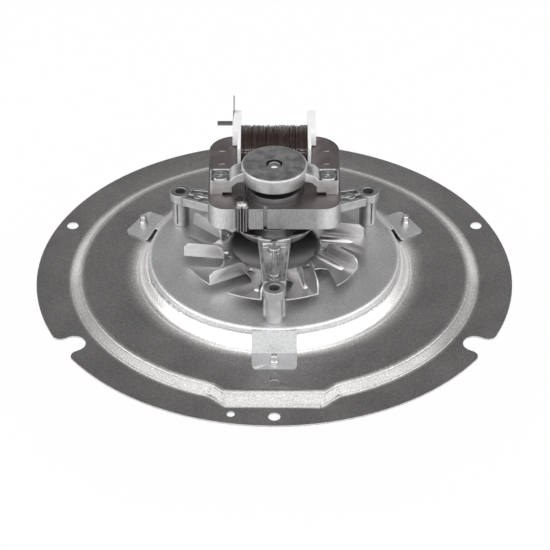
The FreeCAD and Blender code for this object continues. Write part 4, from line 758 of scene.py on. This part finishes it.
class FANMOTOR_OT_plate(MotorOperator, bpy.types.Operator):
    """Finish the mounting plate, the motor pan and the rivets"""

    bl_idname = "fan_motor.plate"
    bl_label = "Plate and pan"

    def execute(self, context):
        colours = settings().finish
        edges = settings().edges
        # The plate: a painted highlight on its drawn walls and soft rolls, toned down on the step, with painted
        # shade on the step's near half; rub marks and zinc flecks are real.
        plate_skin = sheet_metal(
            "plate_sheet", colours.plate, 0.4, contrast=0.2, depth=0.00002, bends=soft_bends,
            marks_and_painted_light=[(bend_highlight, 2.5), (step_highlight, 0.9), (near_step_shade, 0.72), (rub_marks, 1.5), (flecks, 1.6)])
        finished_copy("main_plate", "frame", plate_skin, edges.sheet_edge)
        # The pan: painted shade on its tab slopes and a painted highlight on its rim's soft roll.
        pan_skin = sheet_metal(
            "pan_sheet", colours.pan, 0.48, contrast=0.14, depth=0.00002, bends=soft_rim,
            marks_and_painted_light=[(tab_slope_shade, 0.6), (rolled_rim, 1.15)])
        finished_copy("motor_pan", "frame", pan_skin, edges.bent_edge, corner_angle=50)
        rivet_metal = turned_metal("rivet_metal", colours.rivet, 0.25)
        finished_copy("pan_rivets", "frame", rivet_metal, edges.turned_edge)
        return {"FINISHED"}


class FANMOTOR_OT_castings(MotorOperator, bpy.types.Operator):
    """Finish the bracket, the bridge and their screws"""

    bl_idname = "fan_motor.castings"
    bl_label = "Castings and screws"

    def execute(self, context):
        colours = settings().finish
        edges = settings().edges
        skin = cast_metal("cast_skin", colours.casting, 0.42)
        for node in ("lower_bracket", "upper_bridge"):
            finished_copy(node, "frame", skin, edges.cast_edge)
        bright = turned_metal("bright_zinc", colours.screw, 0.22)
        for node in ("bridge_screws", "post_screws"):
            finished_copy(node, "frame", bright, edges.turned_edge)
        return {"FINISHED"}


def over_stack(tree, limits):
    """0 below one height and 1 above the other, both taken from the stack's top."""
    return height_mask(tree, *(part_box("stator_stack")[1].z + limit for limit in limits))


def weld(tree):
    """1 on the weld that joins a shading ring's strands over the stack."""
    outer = abs(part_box("shading_ring_front")[0].y)
    beside = rising(tree, unsigned(tree, part_of_place(tree, "Y")), *(outer - reach for reach in WELD_REACH))
    return product(tree, over_stack(tree, WELD_RISE), beside)


def strands(tree):
    """1 on the crowns of the ring's four round strands, 0 in the grooves and on the weld."""
    aside = combine(tree, "SUBTRACT", unsigned(tree, part_of_place(tree, "X")), RING_SIDE)
    wave = combine(tree, "SINE", product(tree, aside, math.pi / STRAND_WIDTH))
    return product(tree, unsigned(tree, wave), inverse(tree, over_stack(tree, STRANDS_END)))


def crowns(tree):
    """1 on the strands' crowns, which get a painted highlight."""
    return rising(tree, strands(tree), 0.72, 0.97)


def grooves(tree):
    """1 in the grooves between the strands, which get painted shade."""
    return product(
        tree, inverse(tree, over_stack(tree, STRANDS_END)), falling(tree, strands(tree), 0.25, 0.65))


def round_strands(tree):
    """The round strands, as a relief."""
    return relief(tree, strands(tree), STRAND_DEPTH)


class FANMOTOR_OT_stator(MotorOperator, bpy.types.Operator):
    """Finish the laminated stack, the coil's core and the shading rings"""

    bl_idname = "fan_motor.stator"
    bl_label = "Stator"

    def execute(self, context):
        colours = settings().finish
        edges = settings().edges
        sheets = laminated_steel("lamination_sheets", colours.stack_top, colours.stack_edge)
        for node in ("stator_stack", "coil_core"):
            finished_copy(node, "frame", sheets, edges.sheet_edge)
        # The strip: a painted highlight on the strands' crowns and painted shade in their grooves; the weld is
        # lighter.
        strip = sheet_metal(
            "shading_strip", colours.ring, 0.4, bends=round_strands,
            marks_and_painted_light=[(weld, 4.5), (crowns, 2.7), (grooves, 0.4)])
        for node in ("shading_ring_front", "shading_ring_rear"):
            finished_copy(node, "frame", strip, edges.strand_edge, segments=3)
        return {"FINISHED"}


class FANMOTOR_OT_coil(MotorOperator, bpy.types.Operator):
    """Wind the coil and finish the bobbin and the terminals"""

    bl_idname = "fan_motor.coil"
    bl_label = "Coil"

    def execute(self, context):
        colours = settings().finish
        edges = settings().edges
        plastic = moulded_plastic("bobbin_plastic", colours.bobbin)
        finished_copy("bobbin", "frame", plastic, edges.moulded_edge)
        tinned = sheet_metal("tinned_brass", colours.terminal, 0.35)
        for node in ("side_terminal", "top_terminal"):
            finished_copy(node, "frame", tinned, edges.turned_edge)
        build_winding()
        return {"FINISHED"}


def build_winding():
    """Turns of wire laid side by side over the wound block."""
    values = settings().winding
    low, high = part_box("coil_winding")
    middle = (low + high) / 2
    half = (high - low) / 2
    turns = int((high.x - low.x) / values.wire_width)
    pitch = (high.x - low.x) / turns
    wire = pitch / 2
    chance = random.Random(WINDING_SEED)
    one_turn = bpy.data.meshes.new("one_turn")
    quarter = Matrix.Rotation(math.pi / 2, 4, "X")

    def add_turn(form, place):
        """One closed turn, a little slack and leaning."""
        sink = values.slack * chance.random() ** 2
        lean = Matrix.Rotation(chance.uniform(-1, 1) * values.lean, 3, "Z")
        radius = half.z - wire - sink
        loop = bmesh.new()
        bmesh.ops.create_circle(loop, segments=values.sides, radius=wire, matrix=quarter)
        bmesh.ops.translate(loop, verts=loop.verts, vec=(0, 0, radius))
        bmesh.ops.spin(
            loop, geom=loop.verts[:] + loop.edges[:], cent=(0, 0, 0), axis=(1, 0, 0), dvec=(0, 0, 0),
            angle=math.tau, steps=values.steps, use_merge=True, use_duplicate=False)
        bmesh.ops.scale(loop, verts=loop.verts, vec=(1.0, (half.y - wire - sink) / radius, 1.0))
        bmesh.ops.rotate(loop, verts=loop.verts, cent=(0, 0, 0), matrix=lean)
        bmesh.ops.translate(loop, verts=loop.verts, vec=(place, 0, 0))
        for vert in loop.verts:
            vert.co.x = max(-half.x, min(half.x, vert.co.x))
        loop.to_mesh(one_turn)
        loop.free()
        form.from_mesh(one_turn)

    def wind(form):
        """Shrink the CAD's plain block to the turns' foot and lay the turns over it."""
        shrink = 1 - (values.wire_width + values.slack) / half.z
        bmesh.ops.translate(form, verts=form.verts, vec=-middle)
        outer = [v for v in form.verts if (v.co.y / half.y) ** 2 + (v.co.z / half.z) ** 2 > WOUND_SHARE]
        bmesh.ops.scale(form, verts=outer, vec=(1.0, shrink, shrink))
        for turn in range(turns):
            add_turn(form, -half.x + pitch * (turn + 0.5))
        bmesh.ops.translate(form, verts=form.verts, vec=middle)

    colours = settings().finish
    enamel = enamelled_wire("wire_enamel", colours.wire, colours.wire_glint, low, high)
    finished_copy("coil_winding", "frame", enamel, shape=wind)
    bpy.data.meshes.remove(one_turn)


class FANMOTOR_OT_bearings(MotorOperator, bpy.types.Operator):
    """Finish the bearings, the felts and the spring plates"""

    bl_idname = "fan_motor.bearings"
    bl_label = "Bearings"

    def execute(self, context):
        colours = settings().finish
        bronze = cast_metal("sintered_bronze", colours.bearing, 0.5)
        felt = soft_felt("oil_felt", colours.felt)
        spring = sheet_metal("spring_sheet", colours.spring, 0.35)
        for place in ("upper", "lower"):
            finished_copy(place + "_bearing", "frame", bronze)
            finished_copy(place + "_felt", "frame", felt)
            finished_copy(place + "_retainer", "frame", spring)
        return {"FINISHED"}


def beside_axis(vert):
    """A vertex's distance from the shaft's axis."""
    return math.hypot(vert.co.x, vert.co.y)


def dome_end(form, rise):
    """Round the shaft's upper end to a low dome."""
    rings = 5
    top = max(vert.co.z for vert in form.verts)
    end = [face for face in form.faces if all(vert.co.z > top - SAME_HEIGHT for vert in face.verts)]
    middle = bmesh.ops.dissolve_faces(form, faces=end)["region"][0]
    inner = max(beside_axis(vert) for vert in middle.verts)
    for _ in range(rings - 1):
        bmesh.ops.inset_individual(form, faces=[middle], thickness=inner / rings)
    tip = [vert for vert in form.verts if vert.co.z > top - MILLIMETRE]
    outer = max(beside_axis(vert) for vert in tip)
    for vert in tip:
        vert.co.z = top + rise * (1 - (beside_axis(vert) / outer) ** 2)


class FANMOTOR_OT_rotor(MotorOperator, bpy.types.Operator):
    """Finish the shaft, the rotor and the thrust washers"""

    bl_idname = "fan_motor.rotor"
    bl_label = "Rotor"

    def execute(self, context):
        colours = settings().finish
        edges = settings().edges
        ground = turned_metal("ground_steel", colours.shaft, 0.18)
        finished_copy("shaft", "rotor", ground, edges.turned_edge,
                      shape=lambda form: dome_end(form, edges.shaft_dome))
        sheets = laminated_steel("rotor_sheets", colours.stack_top, colours.stack_edge)
        finished_copy("rotor_core", "rotor", sheets)
        alloy = cast_metal("cage_alloy", colours.cage, 0.4)
        finished_copy("rotor_cage", "rotor", alloy, edges.turned_edge)
        finish_node("thrust_washers", moulded_plastic("washer_plastic", colours.washer))
        return {"FINISHED"}


def fan_middle_shade(tree):
    """1 on the fan's middle, which gets painted shade under the bracket's bowl."""
    return inverse(tree, radius_mask(tree, *FAN_MIDDLE))


class FANMOTOR_OT_fan(MotorOperator, bpy.types.Operator):
    """Finish the cooling fan and its hub"""

    bl_idname = "fan_motor.fan"
    bl_label = "Cooling fan"

    def execute(self, context):
        colours = settings().finish
        edges = settings().edges
        skin = sheet_metal("fan_sheet", colours.fan, 0.3, contrast=0.05, marks_and_painted_light=[(fan_middle_shade, 0.36)])
        finished_copy("cooling_fan", "rotor", skin, edges.bent_edge, corner_angle=50)
        hub = turned_metal("hub_alloy", colours.hub, 0.3)
        finished_copy("fan_hub", "rotor", hub, edges.turned_edge)
        return {"FINISHED"}


class FANMOTOR_PT_panel(bpy.types.Panel):
    """Steps and settings of the fan motor"""

    bl_idname = "FANMOTOR_PT_panel"
    bl_label = "Fan Motor"
    bl_space_type = "VIEW_3D"
    bl_region_type = "UI"
    bl_category = "Fan Motor"

    def draw(self, context):
        for step in STEPS:
            self.layout.operator(step.bl_idname)
        for group in (settings().stage, settings().finish, settings().winding, settings().edges):
            box = self.layout.box()
            for name in group.__annotations__:
                box.prop(group, name)


STEPS = (
    FANMOTOR_OT_stage, FANMOTOR_OT_plate, FANMOTOR_OT_castings, FANMOTOR_OT_stator, FANMOTOR_OT_coil,
    FANMOTOR_OT_bearings, FANMOTOR_OT_rotor, FANMOTOR_OT_fan)
CLASSES = (
    StageSettings, FinishSettings, WindingSettings, EdgeSettings, MotorSettings) + STEPS + (FANMOTOR_PT_panel,)


def register():
    """Add the classes and the settings."""
    for item in CLASSES:
        bpy.utils.register_class(item)
    bpy.types.Scene.fan_motor = bpy.props.PointerProperty(type=MotorSettings, name="Fan motor")


def unregister():
    """Remove the settings and the classes."""
    del bpy.types.Scene.fan_motor
    for item in reversed(CLASSES):
        bpy.utils.unregister_class(item)


def main():
    """Run every step."""
    register()
    for step in STEPS:
        group, name = step.bl_idname.split(".")
        getattr(getattr(bpy.ops, group), name)()


if __name__ == "__main__":
    main()
